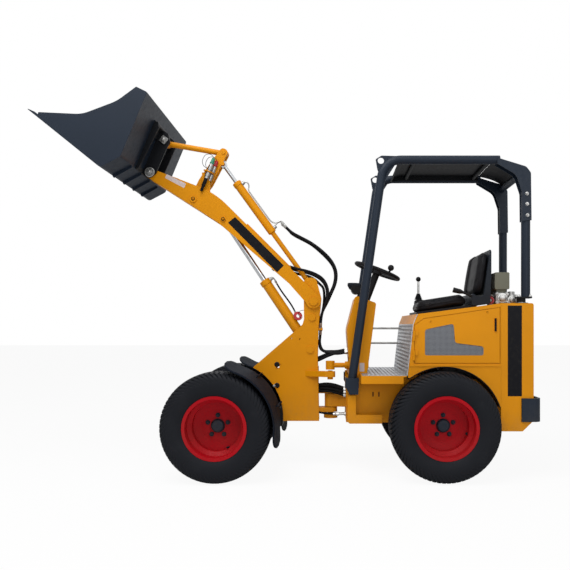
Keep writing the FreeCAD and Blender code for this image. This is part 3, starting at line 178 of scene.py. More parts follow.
def mesh_piece(name, points, faces, finish, body=None, slot=None, smooth=True, bevel=0.0):
    """A mesh object from an array of points and a list of arrays of faces.

    Doubled points at seams and poles are merged and the faces turned outwards."""
    mesh = bpy.data.meshes.new(name)
    mesh.from_pydata(points.reshape(-1, 3).tolist(), [],
                     [face for group in faces for face in group.tolist()])
    shell = bmesh.new()
    shell.from_mesh(mesh)
    bmesh.ops.remove_doubles(shell, verts=shell.verts, dist=1e-6)
    bmesh.ops.recalc_face_normals(shell, faces=shell.faces)
    shell.to_mesh(mesh)
    shell.free()
    mesh.polygons.foreach_set("use_smooth", np.full(len(mesh.polygons), smooth))
    if smooth:
        mesh.set_sharp_from_angle(angle=math.radians(42))
    mesh.materials.append(finish)
    mesh.update()
    made = bpy.data.objects.new(name, mesh)
    scene.collection.objects.link(made)
    if bevel:
        edge = made.modifiers.new("worn_edge", "BEVEL")
        edge.width, edge.segments, edge.limit_method = bevel, 2, "ANGLE"
    if body:
        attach(made, body)
    return made


floor_finish = Finish("floor_white")
path = floor_finish.node("ShaderNodeLightPath", out="Is Camera Ray")
plain = floor_finish.node("ShaderNodeBsdfDiffuse", {}, {0: colour(0.9, 0.9, 0.9)})
glow = floor_finish.node("ShaderNodeEmission", {}, {0: colour(1, 1, 1), 1: 1.0})
both = floor_finish.node("ShaderNodeMixShader", {}, {0: path * 0.93, 1: plain, 2: glow})
floor_finish.node("ShaderNodeOutputMaterial", {}, {"Surface": both})
reach = 30.0
corners = np.array([[-reach, -reach, 0], [reach, -reach, 0], [reach, reach, 0], [-reach, reach, 0]])
floor = mesh_piece("floor", corners, [np.array([[0, 1, 2, 3]])], floor_finish.material)

# ---------------------------------------------------------------- painted steel
# Sheet and plate parts are powder coated: a glossy orange-yellow on the machine itself and a
# near-black blue on the bucket, the canopy and the guards.  Edges are rounded by the coat.


def rounded_edges(finish, radius):
    """The normal of an edge rounded to a radius, and how near the edge a spot is."""
    soft = finish.node("ShaderNodeBevel", {"samples": 4}, {"Radius": radius})
    hard = finish.node("ShaderNodeNewGeometry", out="True Normal")
    same = finish.node("ShaderNodeVectorMath", {"operation": "DOT_PRODUCT"},
                       {0: soft, 1: hard}, "Value")
    return soft, finish.ramp(1 - same, 0.02, 0.25)


def tinted(hue, share, add=0.0):
    """A colour made paler or darker."""
    return tuple(min(1.0, c * share + add) for c in hue[:3]) + (1.0,)


def paint(name, hue, gloss, peel, dust, shine=0.35, edge_radius=0.0015):
    """Powder coat: a faint orange peel, a little dust low down, and thinner, paler edges."""
    finish = Finish(name)
    place = finish.node("ShaderNodeTexCoord", out="Object")
    soft, edge = rounded_edges(finish, edge_radius)
    cloud = finish.noise(place, 2.3, 4.0)
    grain = finish.noise(place, 420.0, 2.0)
    speck = finish.noise(place, 38.0, 5.0, 0.7)
    height = finish.node("ShaderNodeSeparateXYZ", {}, {0: place}, "Z")
    low = finish.ramp(height, 0.75, 0.2) * finish.ramp(cloud + speck * 0.5, 0.6, 1.0)
    shade = finish.mixed(finish.ramp(cloud, 0.3, 0.7), hue, tinted(hue, 0.9))
    shade = finish.mixed(edge * 0.4, shade, tinted(hue, 1.15, 0.008))
    shade = finish.mixed(low * dust, shade, colour(0.17, 0.14, 0.10))
    bump = finish.node("ShaderNodeBump", {}, {"Strength": peel, "Distance": 0.0006,
                                             "Height": grain + speck * 0.4, "Normal": soft})
    rough = finish.ramp(speck, 0.35, 0.75, gloss - 0.04, gloss + 0.07) + low * 0.2
    return finish.surface(Base_Color=shade, Roughness=rough, Normal=bump, Specular_IOR_Level=shine)


yellow = paint("yellow_powder_coat", colour(0.70, 0.268, 0.002), 0.42, 0.1, 0.25, 0.14)
slate = paint("slate_powder_coat", colour(0.010, 0.017, 0.030), 0.45, 0.12, 0.15, 0.2)
black = paint("black_powder_coat", colour(0.006, 0.007, 0.009), 0.5, 0.15, 0.15, 0.15)
red = paint("red_rim_lacquer", colour(0.42, 0.0012, 0.008), 0.38, 0.1, 0.1, 0.1)
guard = paint("guard_powder_coat", colour(0.007, 0.010, 0.017), 0.7, 0.3, 0.1, 0.05)
grey = paint("stone_grey_paint", colour(0.17, 0.175, 0.135), 0.5, 0.12, 0.2, 0.2)


def steel(name, hue, rough, scale):
    """Bare or plated steel with fine scratches and a dulled bloom."""
    finish = Finish(name)
    place = finish.node("ShaderNodeTexCoord", out="Object")
    soft, _ = rounded_edges(finish, 0.0008)
    bloom = finish.noise(place, 22.0, 5.0, 0.65)
    scratch = finish.noise(place, scale, 3.0, 0.8)
    shade = finish.mixed(finish.ramp(bloom, 0.35, 0.7), hue, tinted(hue, 0.75))
    bump = finish.node("ShaderNodeBump", {}, {"Strength": 0.1, "Distance": 0.0004,
                                             "Height": scratch, "Normal": soft})
    return finish.surface(Base_Color=shade, Metallic=1.0, Normal=bump,
                          Roughness=finish.ramp(bloom, 0.3, 0.75, rough, rough + 0.14))


zinc = steel("zinc_plated_steel", colour(0.42, 0.42, 0.41), 0.33, 160.0)
chrome = steel("chromed_rod", colour(0.66, 0.68, 0.70), 0.1, 420.0)
iron = steel("cast_engine_iron", colour(0.10, 0.10, 0.105), 0.55, 90.0)
tread_plate = steel("aluminium_tread_plate", colour(0.46, 0.47, 0.49), 0.36, 120.0)


def moulded(name, hue, rough, grain_size, depth, shine=0.3):
    """Moulded plastic or rubber with a fine grain and a little dust in it."""
    finish = Finish(name)
    place = finish.node("ShaderNodeTexCoord", out="Object")
    soft, edge = rounded_edges(finish, 0.0015)
    cells = finish.node("ShaderNodeTexVoronoi", {}, {"Vector": place, "Scale": grain_size})
    cloud = finish.noise(place, 7.0, 5.0, 0.6)
    dusty = finish.ramp(cloud, 0.5, 0.8) * 0.25
    shade = finish.mixed(dusty, hue, tinted(hue, 1.6, 0.012))
    shade = finish.mixed(edge * 0.25, shade, tinted(hue, 2.0, 0.02))
    bump = finish.node("ShaderNodeBump", {}, {"Strength": depth, "Distance": 0.0006,
                                             "Height": cells, "Normal": soft})
    return finish.surface(Base_Color=shade, Normal=bump, Specular_IOR_Level=shine,
                          Roughness=finish.ramp(cloud, 0.3, 0.75, rough - 0.06, rough + 0.1))


plastic = moulded("black_grained_plastic", colour(0.006, 0.006, 0.007), 0.5, 620.0, 0.25, 0.15)
slate_plastic = moulded("slate_moulded_plastic", colour(0.010, 0.014, 0.021), 0.5, 480.0, 0.2, 0.15)
rubber = moulded("black_tyre_rubber", colour(0.008, 0.009, 0.012), 0.6, 380.0, 0.12, 0.12)

dressed = {
    yellow: ["rear_frame", "platform", "engine_hood", "tail_housing", "dash_cowl", "front_frame",
             "left_engine_door", "right_engine_door", "boom", "bell_crank", "tilt_link",
             "lift_cylinder_barrel", "tilt_cylinder_barrel", "steering_cylinder_barrel",
             "steering_cylinder_rod", "front_pins"],
    slate: ["rear_bumper", "canopy_left_rail", "canopy_right_rail", "rear_posts", "bucket"],
    guard: ["front_left_fender", "front_right_fender"],
    black: ["post_mounts", "rear_axle", "front_axle", "rear_arches", "seat_frame", "roof_panel",
            "quick_coupler", "radiator_grille"],
    red: ["front_left_rim", "front_right_rim", "rear_left_rim", "rear_right_rim"],
    grey: ["tool_box"],
    zinc: ["guard_rails", "silencer"],
    chrome: ["lift_cylinder_rod", "tilt_cylinder_rod"],
    iron: ["engine_block"],
    tread_plate: ["riser_plate"],
    plastic: ["gauge_pod", "control_console", "control_lever", "steering_column", "steering_wheel",
              "seat_cushion", "seat_backrest"],
    rubber: [f"{end}_{side}_tyre" for end in ("front", "rear") for side in ("left", "right")],
}
for finish, names in dressed.items():
    for name in names:
        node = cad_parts[name]
        node.data.materials.clear()
        node.data.materials.append(finish)

# ---------------------------------------------------------------- tyres
# Wide turf tyres: black rubber moulded in a press.  Rows of curved lugs cross the crown and
# sweep back over the shoulders; the side is smooth down to the bead.


def grid_faces(rows, columns, round_rows=False, round_columns=False):
    """Four-sided faces between neighbours of a grid of points, closed round where asked."""
    row = np.arange(rows if round_rows else rows - 1)
    column = np.arange(columns if round_columns else columns - 1)
    i, j = (part.ravel() for part in np.meshgrid(row, column, indexing="ij"))
    down, right = (i + 1) % rows, (j + 1) % columns
    return np.stack([i * columns + j, down * columns + j, down * columns + right,
                     i * columns + right], axis=1)


def smooth_run(points, count):
    """Points spread along a smooth curve through the given ones: cubic runs whose slope at a
    point is half the way between its neighbours, all parameters worked out at once."""
    points = np.asarray(points, float)
    run = np.vstack([2 * points[0] - points[1], points, 2 * points[-1] - points[-2]])
    along = np.linspace(0, len(points) - 1, count)
    k = np.minimum(along.astype(int), len(points) - 2)
    f = (along - k)[:, None]
    a, b, c, d = run[k], run[k + 1], run[k + 2], run[k + 3]
    return b + 0.5 * f * (c - a + f * (2 * a - 5 * b + 4 * c - d + f * (3 * (b - c) + d - a)))


def tyre(name, body, steps=(0.0, 0.28, 0.34, 0.55, 0.78, 0.94), lugs=68):
    """The tyre's section carried round its axle.

    A point lies at angle 2 pi (lug + step + sweep) / lugs, where the sweep grows with the
    way over the shoulder, so that lug walls follow rows of the grid.  In a groove the point
    goes in by the groove's depth, which fades out down the side."""
    crown, shoulder, groove_at, groove_depth = 0.362, 0.078, 0.074, 0.013
    low, high = (np.array(c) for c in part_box(name))
    middle, radius = (low + high) / 2, (high[2] - low[2]) / 2
    side = -1 if middle[1] < 0 else 1
    half = [(0.0, crown), (0.045, 0.3617), (0.09, 0.3600), (0.122, 0.3550), (0.139, 0.3440),
            (0.150, 0.3260), (0.1545, 0.3020), (0.1550, 0.2750), (0.1500, 0.2450),
            (0.1380, 0.2180), (0.1290, 0.2085), (0.1270, 0.2000)]
    outer = smooth_run(half, 42)
    liner = smooth_run([(0.105, 0.2000), (0.128, 0.2600), (0.110, 0.3300), (0.0, 0.3400)], 7)
    # circumferential grooves part the crown into four rows of lugs
    rim_way = np.clip((0.356 - outer[:, 1]) / 0.06, 0, 1)
    mask = np.where(np.abs(outer[:, 0] - groove_at) < 0.0045, 0.0, 1.0)
    mask = np.where(np.abs(outer[:, 0]) < 0.004, 0.0, mask) * (1 - rim_way ** 3)
    sweep = np.where(outer[:, 0] > shoulder,
                     0.5 + 1.9 * rim_way + 9 * (outer[:, 0] - shoulder), 12 * outer[:, 0])
    section = np.vstack([outer[::-1], outer[1:] * [-1, 1]])
    mask = np.concatenate([mask[::-1], mask[1:]])
    sweep = np.concatenate([sweep[::-1], sweep[1:] + 0.5])
    inner = np.vstack([liner * [-1, 1], liner[::-1]])
    section = np.vstack([section, inner])
    mask = np.concatenate([mask, np.zeros(len(inner))])
    sweep = np.concatenate([sweep, np.linspace(sweep[-1], sweep[0], len(inner))])
    place = (np.arange(lugs)[:, None] + np.array(steps)).ravel()
    raised = np.tile(np.array(steps) > 0.3, lugs)
    groove = groove_depth * mask[None, :] * ~raised[:, None]
    angle = -2 * math.pi * (place[:, None] + sweep[None, :]) / lugs * side
    reach = (section[None, :, 1] - groove) * radius / crown
    points = np.stack([middle[0] + reach * np.cos(angle) * side,
                       np.broadcast_to(middle[1] + side * section[None, :, 0], reach.shape),
                       middle[2] + reach * np.sin(angle)], axis=2)
    made = mesh_piece(name + "_treaded", points,
                      [grid_faces(len(place), len(section), True, True)], rubber, body,
                      "tyre_rubber")
    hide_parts(name)
    return middle, side


wheels = {}
for end in ("front", "rear"):
    for flank in ("left", "right"):
        wheels[f"{end}_{flank}"] = tyre(f"{end}_{flank}_tyre", f"{end}_{flank}_wheel")

# ---------------------------------------------------------------- wheel nuts, caps and valves
# Five chamfered nuts on a 140 mm circle, blackened steel; a pressed cap over the hub; and a
# rubber tyre valve through the rim's well.


def turned(profile, steps=32):
    """A profile of (height, radius) carried round the local Z axis."""
    profile = np.asarray(profile, float)
    angle = np.arange(steps) * 2 * math.pi / steps
    points = np.stack([profile[:, 1, None] * np.cos(angle), profile[:, 1, None] * np.sin(angle),
                       np.broadcast_to(profile[:, 0, None], (len(profile), steps))], axis=2)
    return points.reshape(-1, 3), [grid_faces(len(profile), steps, False, True)]


def facing(points, place, axis, spin=0.0):
    """Local points turned so that Z lies along an axis, spun about it and moved to a place."""
    z = np.array(axis, float) / np.linalg.norm(axis)
    x = np.cross([0, 0, 1.0] if abs(z[2]) < 0.9 else [1.0, 0, 0], z)
    x /= np.linalg.norm(x)
    y = np.cross(z, x)
    c, s = math.cos(spin), math.sin(spin)
    return points.reshape(-1, 3) @ np.array([c * x + s * y, c * y - s * x, z]) + np.array(place)


def together(parts):
    """Several shapes as one, the faces of each counted on from the points before it."""
    points, faces, count = [], [], 0
    for part_points, part_faces in parts:
        points.append(part_points.reshape(-1, 3))
        faces += [group + count for group in part_faces]
        count += len(points[-1])
    return np.vstack(points), faces


def set_out(shape, places, axis, spin=0.0):
    """The same shape at each of several places, facing along an axis."""
    return [(facing(shape[0], place, axis, spin), shape[1]) for place in places]


def fitted(name, shape, place, axis, finish, body, slot):
    """A turned shape as a piece of its own, at a place and facing along an axis."""
    mesh_piece(name, facing(shape[0], place, axis), shape[1], finish, body, slot)


def nut(across, height, stud):
    """A hexagon nut on a round washer with the stud's end standing out of it."""
    flat = across / math.sqrt(3)
    washer = turned([(0, 0), (0, flat * 1.15), (0.002, flat * 1.15), (0.002, flat * 0.9)], 20)
    body = turned([(0.002, flat), (height - 0.0015, flat), (height, flat * 0.88), (height, 0)], 6)
    end = turned([(height, stud), (height + 0.006, stud), (height + 0.008, stud * 0.7),
                  (height + 0.008, 0)], 12)
    return together([washer, body, end])


for name, (middle, side) in wheels.items():
    disc = middle[1] - side * 0.018
    out = (0, side, 0)
    turn = 2 * math.pi * (np.arange(5) / 5 + 0.25)
    spots = np.stack([middle[0] + 0.07 * np.cos(turn), np.full(5, disc),
                      middle[2] + 0.07 * np.sin(turn)], axis=1)
    hardware = set_out(nut(0.024, 0.016, 0.007), spots, out)
    cap = turned([(-0.004, 0.047), (0.001, 0.047), (0.004, 0.0435), (0.021, 0.0425),
                  (0.027, 0.038), (0.029, 0.03), (0.0275, 0.012), (0.0275, 0.0)], 48)
    hardware.append((facing(cap[0], (middle[0], disc, middle[2]), out), cap[1]))
    mesh_piece(name + "_hub_cap_and_nuts", *together(hardware), slate, name + "_wheel",
               "paint_slate")
    swing = math.radians(-62 if "front" in name else -18)
    stem = turned([(0, 0.0), (0, 0.0105), (0.004, 0.0105), (0.007, 0.006), (0.03, 0.0045),
                   (0.031, 0.0052), (0.041, 0.0052), (0.042, 0.003), (0.042, 0)], 16)
    base = (middle[0] + 0.1605 * math.cos(swing), disc + side * 0.03,
            middle[2] + 0.1605 * math.sin(swing))
    lean = (-0.25 * math.cos(swing), side, -0.25 * math.sin(swing))
    fitted(name + "_valve", stem, base, lean, rubber, name + "_wheel", "tyre_rubber")

# ---------------------------------------------------------------- hydraulic pipes and hoses
# Steel pipes run along the cylinders to their ports.  Black rubber hoses with pressed steel
# ends hang in bows behind the tower, so that boom and middle joint can move.


def tube_along(path, radius, steps=12, ends=True):
    """A round section carried along a path, its plane square to the path's run at each point.

    Each ring is the point plus radius times cosine and sine of two directions square to the
    run; the first and last rings shrink to a point to close the ends."""
    path = np.asarray(path, float)
    run = np.gradient(path, axis=0)
    run /= np.linalg.norm(run, axis=1)[:, None]
    first = np.cross(run, [0.13, 1.0, 0.07])
    first /= np.linalg.norm(first, axis=1)[:, None]
    second = np.cross(run, first)
    radius = np.broadcast_to(np.asarray(radius, float), len(path)).copy()
    if ends:
        path = path[np.r_[0, 0:len(path), len(path) - 1]]
        first, second = (way[np.r_[0, 0:len(way), len(way) - 1]] for way in (first, second))
        radius = np.concatenate([[0.0], radius, [0.0]])
    angle = np.arange(steps) * 2 * math.pi / steps
    points = (path[:, None] + radius[:, None, None] * (np.cos(angle)[None, :, None] * first[:, None]
              + np.sin(angle)[None, :, None] * second[:, None]))
    return points.reshape(-1, 3), [grid_faces(len(path), steps, False, True)]


def pipe(name, points, radius, finish, body, slot, count=60):
    """A bent steel pipe through points given in millimetres."""
    shape = tube_along(smooth_run(np.array(points) / 1000, count), radius / 1000)
    return mesh_piece(name, *shape, finish, body, slot)


def hose_rubber():
    """Wrapped hose: a fine spiral of cloth marks in smooth black rubber."""
    finish = Finish("wrapped_hose_rubber")
    place = finish.node("ShaderNodeTexCoord", out="Object")
    weave = finish.node("ShaderNodeTexWave", {"bands_direction": "DIAGONAL"},
                        {"Vector": place, "Scale": 210.0, "Distortion": 0.6, "Detail": 1.0})
    cloud = finish.noise(place, 16.0, 4.0, 0.6)
    shade = finish.mixed(finish.ramp(cloud, 0.4, 0.75), colour(0.004, 0.004, 0.005),
                         colour(0.010, 0.010, 0.011))
    bump = finish.node("ShaderNodeBump", {}, {"Strength": 0.3, "Distance": 0.0004, "Height": weave})
    return finish.surface(Base_Color=shade, Normal=bump, Specular_IOR_Level=0.1,
                          Roughness=finish.ramp(cloud, 0.3, 0.7, 0.5, 0.65))


hose_black = hose_rubber()
bolt_nut = turned([(0, 0.008), (0, 0.013), (0.016, 0.013), (0.016, 0.008)], 6)
ferrule_shape = turned([(-0.026, 0.0), (-0.026, 0.0092), (-0.024, 0.0112), (-0.002, 0.0112),
                        (0.0, 0.0098), (0.001, 0.0132), (0.012, 0.0132), (0.0125, 0.008),
                        (0.02, 0.008), (0.02, 0.0)], 6)


def hose(name, points, body, to_body=None, radius=8.5, bend=None):
    """A free hose on a spline through chosen points, in millimetres, with a ferrule at each end.

    A hose that crosses a joint is left on no body, where it is made; its end ferrule rides on the
    other body."""
    curve = bpy.data.curves.new(name + "_line", "CURVE")
    curve.dimensions = "3D"
    line = curve.splines.new("NURBS")
    line.points.add(len(points) - 1)
    for spot, place in zip(line.points, points):
        spot.co = (place[0] / 1000, place[1] / 1000, place[2] / 1000, 1)
    line.order_u = 3
    line.use_endpoint_u = True
    line.resolution_u = 10
    holder = bpy.data.objects.new(name + "_line", curve)
    track = bpy.data.meshes.new_from_object(holder)
    path = np.empty(len(track.vertices) * 3)
    track.vertices.foreach_get("co", path)
    path = path.reshape(-1, 3)
    bpy.data.objects.remove(holder)
    made = mesh_piece(name, *tube_along(path, radius / 1000, 14), hose_black, None, "tyre_rubber")
    if to_body:
        start, end = bend or (points[0], points[-1])
        tuple(c / 1000 for c in start)
        tuple(c / 1000 for c in end)
        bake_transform(made)
    else:
        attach(made, body)
    size = radius / 8.5
    for tip, way, owner, label in ((path[0], path[0] - path[1], body, "start"),
                                   (path[-1], path[-1] - path[-2], to_body or body, "end")):
        shape = facing(ferrule_shape[0] * size, tip, way)
        mesh_piece(f"{name}_{label}_ferrule", shape, ferrule_shape[1], zinc, owner, "bare_steel")

def cylinder_line(base, eye):
    """A cylinder's base pin (X, Z), its direction, and the direction off its axis."""
    base, eye = np.array(base), np.array(eye)
    way = (eye - base) / np.linalg.norm(eye - base)
    return base, way, np.array([way[1], -way[0]])


tilt_line = cylinder_line((122.0, 1332.0), (-515.0, 2213.0))
lift_line = cylinder_line((125.0, 854.0), (-504.0, 1798.0))


def beside(line, spots):
    """Points given as (along a cylinder, off its axis, Y), in millimetres."""
    base, way, off = line
    spots = np.array(spots, float)
    flat = base + spots[:, :1] * way + spots[:, 1:2] * off
    return np.stack([flat[:, 0], spots[:, 2], flat[:, 1]], axis=1)


pipe("tilt_rod_end_pipe", beside(tilt_line, [
    (888, 31, -10), (890, 46, -11), (880, 62, -12), (862, 66, -13), (842, 58, -14), (824, 42, -15),
    (790, 38, -16), (640, 38, -16), (560, 38, -14), (530, 44, -12), (512, 62, -10), (506, 84, -8),
    (500, 98, -6), (484, 104, -5), (466, 98, -4)]), 5, zinc, "tilt_barrel", "bare_steel", 110)
pipe("tilt_base_end_pipe", beside(tilt_line, [
    (492, 31, 8), (500, 44, 10), (508, 66, 14), (504, 92, 16), (488, 106, 17), (464, 100, 18)]),
    5, zinc, "tilt_barrel", "bare_steel")
pipe("lift_rod_end_pipe", beside(lift_line, [
    (590, 38, -4), (596, 52, -6), (590, 62, -8), (572, 66, -8), (552, 64, -8)]),
    5, zinc, "lift_barrel", "bare_steel", 40)
banjo = turned([(0, 0.0), (0, 0.014), (0.012, 0.014), (0.013, 0.0115), (0.022, 0.0115),
                (0.024, 0.009), (0.024, 0.0)], 20)
for line, along, side_y, out, body in (
        (tilt_line, 888, -10, 27.5, "tilt_barrel"), (tilt_line, 492, 8, 27.5, "tilt_barrel"),
        (lift_line, 590, -4, 36, "lift_barrel"), (lift_line, 150, 0, 36, "lift_barrel")):
    spot = beside(line, [(along, out, side_y)])[0] / 1000
    fitted(f"{body}_port_{along}", banjo, spot, (line[2][0], 0, line[2][1]), zinc, body,
           "bare_steel")

# the hose clamp on the tower's rear edge: a strap over a rubber block
clamp_z = 1003


def slab(corners, thickness):
    """A flat plate between four corners, raised along their normal by its thickness."""
    corners = np.array(corners, float) / 1000
    normal = np.cross(corners[1] - corners[0], corners[3] - corners[0])
    raised = corners + normal / np.linalg.norm(normal) * thickness / 1000
    faces = np.array([[3, 2, 1, 0], [4, 5, 6, 7], [0, 1, 5, 4], [1, 2, 6, 5], [2, 3, 7, 6],
                      [3, 0, 4, 7]])
    return np.vstack([corners, raised]), [faces]


def bar(x, y, z):
    """A square-edged bar between two corners, in millimetres."""
    return slab([(x[0], y[0], z[0]), (x[1], y[0], z[0]), (x[1], y[1], z[0]), (x[0], y[1], z[0])],
                z[1] - z[0])


mesh_piece("hose_clamp_block", *bar((186, 212), (-40, 40), (clamp_z - 14, clamp_z + 14)),
           rubber, "front_chassis", "tyre_rubber", False, 0.002)
mesh_piece("hose_clamp_strap", *together([
    bar((212, 216), (-42, 42), (clamp_z - 9, clamp_z + 9)),
    bar((182, 216), (-46, -42), (clamp_z - 9, clamp_z + 9)),
    bar((182, 216), (42, 46), (clamp_z - 9, clamp_z + 9))]), yellow, "front_chassis",
    "paint_yellow", False, 0.001)

for index, y in enumerate((-26, -4)):
    lean = index * 9
    exit_spot = beside(tilt_line, [(464, 99 - lean / 9, y)])[0]
    hose(f"tilt_hose_{index + 1}", [
        tuple(exit_spot), (-42 + lean, y, 1738 - lean), (-6, y, 1706 - lean), (60, y, 1672 - lean),
        (134, y, 1634 - lean), (214 - lean, y, 1574 - lean), (276 - lean, y, 1512 - lean),
        (310 - lean, y, 1450), (320 - lean, y, 1390), (308 - lean, y, 1325), (284 - lean, y, 1272),
        (252 - lean, y, 1200), (214, y, 1130), (201, y, 1075), (199, y, 1018)],
        "tilt_barrel", "front_chassis", 9.5, ((0, 0, 1690), (260, 0, 1200)))
for index, (y, lean) in enumerate(((-43, 0), (42, 8), (48, 30))):
    hose(f"boom_hose_{index + 1}", [
        (-140, y, 1476 - lean), (-92, y, 1470 - lean), (-36, y, 1462 - lean), (36, y, 1440 - lean),
        (108, y, 1426 - lean), (172 - lean / 2, y, 1402 - lean), (224 - lean, y, 1366 - lean),
        (252 - lean, y, 1310), (258 - lean, y, 1256), (240 - lean / 2, y, 1190), (214, y, 1130),
        (203, y * 0.8, 1075), (200, y * 0.8, 1018)],
        "boom", "front_chassis", 9.5, ((0, 0, 1440), (240, 0, 1240)))
for index, y in enumerate((-26, -4, 18)):
    hose(f"tower_hose_{index + 1}", [
        (200, y, 988), (198, y, 950), (193, y, 905), (196 + 4 * index, y, 860), (226, y, 838),
        (268, y * 1.2, 826 + 6 * index), (320, y * 1.6, 822 + 8 * index),
        (366, y * 2, 828 + 9 * index), (404, y * 2, 838 + 9 * index)],
        "front_chassis", "rear_chassis", 9.5, ((190, 0, 840), (390, 0, 840)))
for index, (y, wide, rise) in enumerate(((-30, -72, -28), (-28, -78, -8), (-24, -68, 12),
                                         (0, 0, 16), (24, 68, 12), (28, 78, -8))):
    hose(f"middle_joint_hose_{index + 1}", [
        (156, y, 574 + rise), (178, y, 577 + rise), (204, (y + wide) / 2, 580 + rise),
        (236, wide, 582 + rise), (276, wide, 580 + rise), (314, wide, 572 + rise),
        (348, wide * 0.95, 560 + rise), (374, wide * 0.9, 551 + rise),
        (397, wide * 0.88, 548 + rise)],
        "front_chassis", "rear_chassis", 10.5, ((190, 0, 590), (380, 0, 590)))
for index, (y, rise) in enumerate(((-30, 0), (-22, 19), (6, 8), (28, 14))):
    hose(f"steering_hose_{index + 1}", [
        (152, y, 762 + rise), (174, y, 770 + rise), (204, y, 782 + rise),
        (244, y * 1.15, 802 + rise * 0.9), (284, y * 1.3, 818 + rise * 0.7),
        (322, y * 1.4, 828 + rise * 0.5), (362, y * 1.5, 832 + rise * 0.5),
        (404, y * 1.6, 830 + rise * 0.5)],
        "front_chassis", "rear_chassis", 9.5, ((190, 0, 780), (390, 0, 830)))
for index, y in enumerate((-62, -30)):
    hose(f"brake_hose_{index + 1}", [
        (150, y / 2, 398), (172, y / 2, 397), (204, y * 0.8, 394), (240, y, 389), (276, y, 386),
        (312, y, 385)], "front_chassis", "rear_chassis", 7.0, ((190, 0, 395), (300, 0, 385)))
    pipe(f"brake_pipe_{index + 1}", [(314, y, 385), (340, y, 385), (366, y, 386), (396, y, 387)],
         8, zinc, "rear_chassis", "bare_steel", 12)
    mesh_piece(f"brake_fitting_{index + 1}", *together(
        set_out(bolt_nut, [(0.318, y / 1000, 0.385), (0.372, y / 1000, 0.386)], (1, 0, 0))), zinc,
        "rear_chassis", "bare_steel")
hose("lift_rod_end_hose", [
    tuple(spot) for spot in beside(lift_line, [
        (550, 64, -8), (520, 62, -8), (470, 60, -9), (400, 64, -10), (330, 66, -10),
        (280, 58, -8)])], "lift_barrel", None, 6.0)

# ---------------------------------------------------------------- red cap on its wire
# A red plastic dust cap, kept on a thin wire loop, hangs from the tower's front edge.


def gloss_plastic(name, hue):
    """Smooth injection-moulded plastic with faint flow marks."""
    finish = Finish(name)
    place = finish.node("ShaderNodeTexCoord", out="Object")
    flow = finish.noise(place, 60.0, 3.0, 0.5)
    shade = finish.mixed(finish.ramp(flow, 0.35, 0.7), hue, tinted(hue, 0.8))
    bump = finish.node("ShaderNodeBump", {}, {"Strength": 0.1, "Distance": 0.0004, "Height": flow})
    return finish.surface(Base_Color=shade, Normal=bump, Specular_IOR_Level=0.4,
                          Roughness=finish.ramp(flow, 0.3, 0.75, 0.3, 0.42))


red_plastic = gloss_plastic("red_cap_plastic", colour(0.45, 0.012, 0.02))
green_plastic = gloss_plastic("green_cap_plastic", colour(0.02, 0.22, 0.12))
ring = turned([(-0.005, 0.013), (-0.006, 0.02), (-0.005, 0.031), (0, 0.0335), (0.005, 0.031),
               (0.006, 0.02), (0.005, 0.013), (-0.005, 0.013)], 36)
fitted("red_cap_ring", ring, (0.036, -0.038, 1.098), (0.35, -1, 0.2), red_plastic,
       "front_chassis", "plastic_black")
hose("red_cap_wire", [
    (84, -48, 1140), (66, -46, 1140), (50, -42, 1134), (40, -39, 1122), (38, -38, 1110),
    (44, -40, 1098), (54, -45, 1090), (66, -48, 1086)], "front_chassis", None, 1.6)

# ---------------------------------------------------------------- couplings on the boom
# Two quick couplings of zinc-plated steel stand in a bracket beside the lever, with hose tails
# below, and coloured dust caps on wire loops above.

bracket_turn = (-0.36, 0, -0.93)
holder = turned([(0, 0.017), (0, 0.042), (0.006, 0.042), (0.006, 0.017), (0, 0.017)], 28)
mesh_piece("coupling_bracket", *together([
    (facing(holder[0], (-0.604, -0.076, 2.142), bracket_turn), holder[1]),
    bar((-660, -600), (-64, -58), (1958, 2140))]), yellow, "boom", "paint_yellow", True)
couple = turned([
    (-0.062, 0.0), (-0.062, 0.0115), (-0.058, 0.013), (-0.034, 0.013), (-0.032, 0.0165),
    (-0.014, 0.0165), (-0.012, 0.014), (0.004, 0.014), (0.006, 0.0175), (0.034, 0.0175),
    (0.036, 0.015), (0.052, 0.015), (0.054, 0.012), (0.054, 0.0)], 24)
tail = turned([(0.052, 0.0), (0.052, 0.0115), (0.056, 0.0135), (0.110, 0.0135), (0.118, 0.0105),
               (0.150, 0.0105), (0.150, 0.0)], 16)
cap_shape = turned([(-0.104, 0.0), (-0.104, 0.008), (-0.100, 0.0125), (-0.074, 0.0135),
                    (-0.070, 0.0155), (-0.060, 0.0155), (-0.060, 0.0)], 24)
for label, place, cap_finish in (("near", (-0.606, -0.088, 2.140), green_plastic),
                                 ("far", (-0.590, -0.050, 2.130), red_plastic)):
    for part, shape, finish, slot in (("", couple, zinc, "bare_steel"),
                                      ("_tail", tail, hose_black, "tyre_rubber"),
                                      ("_cap", cap_shape, cap_finish, "plastic_black")):
        fitted(f"{label}_coupling{part}", shape, place, bracket_turn, finish, "boom", slot)
    x, y, z = (c * 1000 for c in place)
    pipe(f"{label}_cap_wire", [
        (x - 8, y - 16, z + 20), (x - 34, y - 17, z + 40), (x - 42, y - 18, z + 74),
        (x - 24, y - 19, z + 112), (x + 6, y - 18, z + 122), (x + 32, y - 14, z + 110),
        (x + 38, y - 6, z + 92)], 1.8, hose_black, "boom", "tyre_rubber", 48)
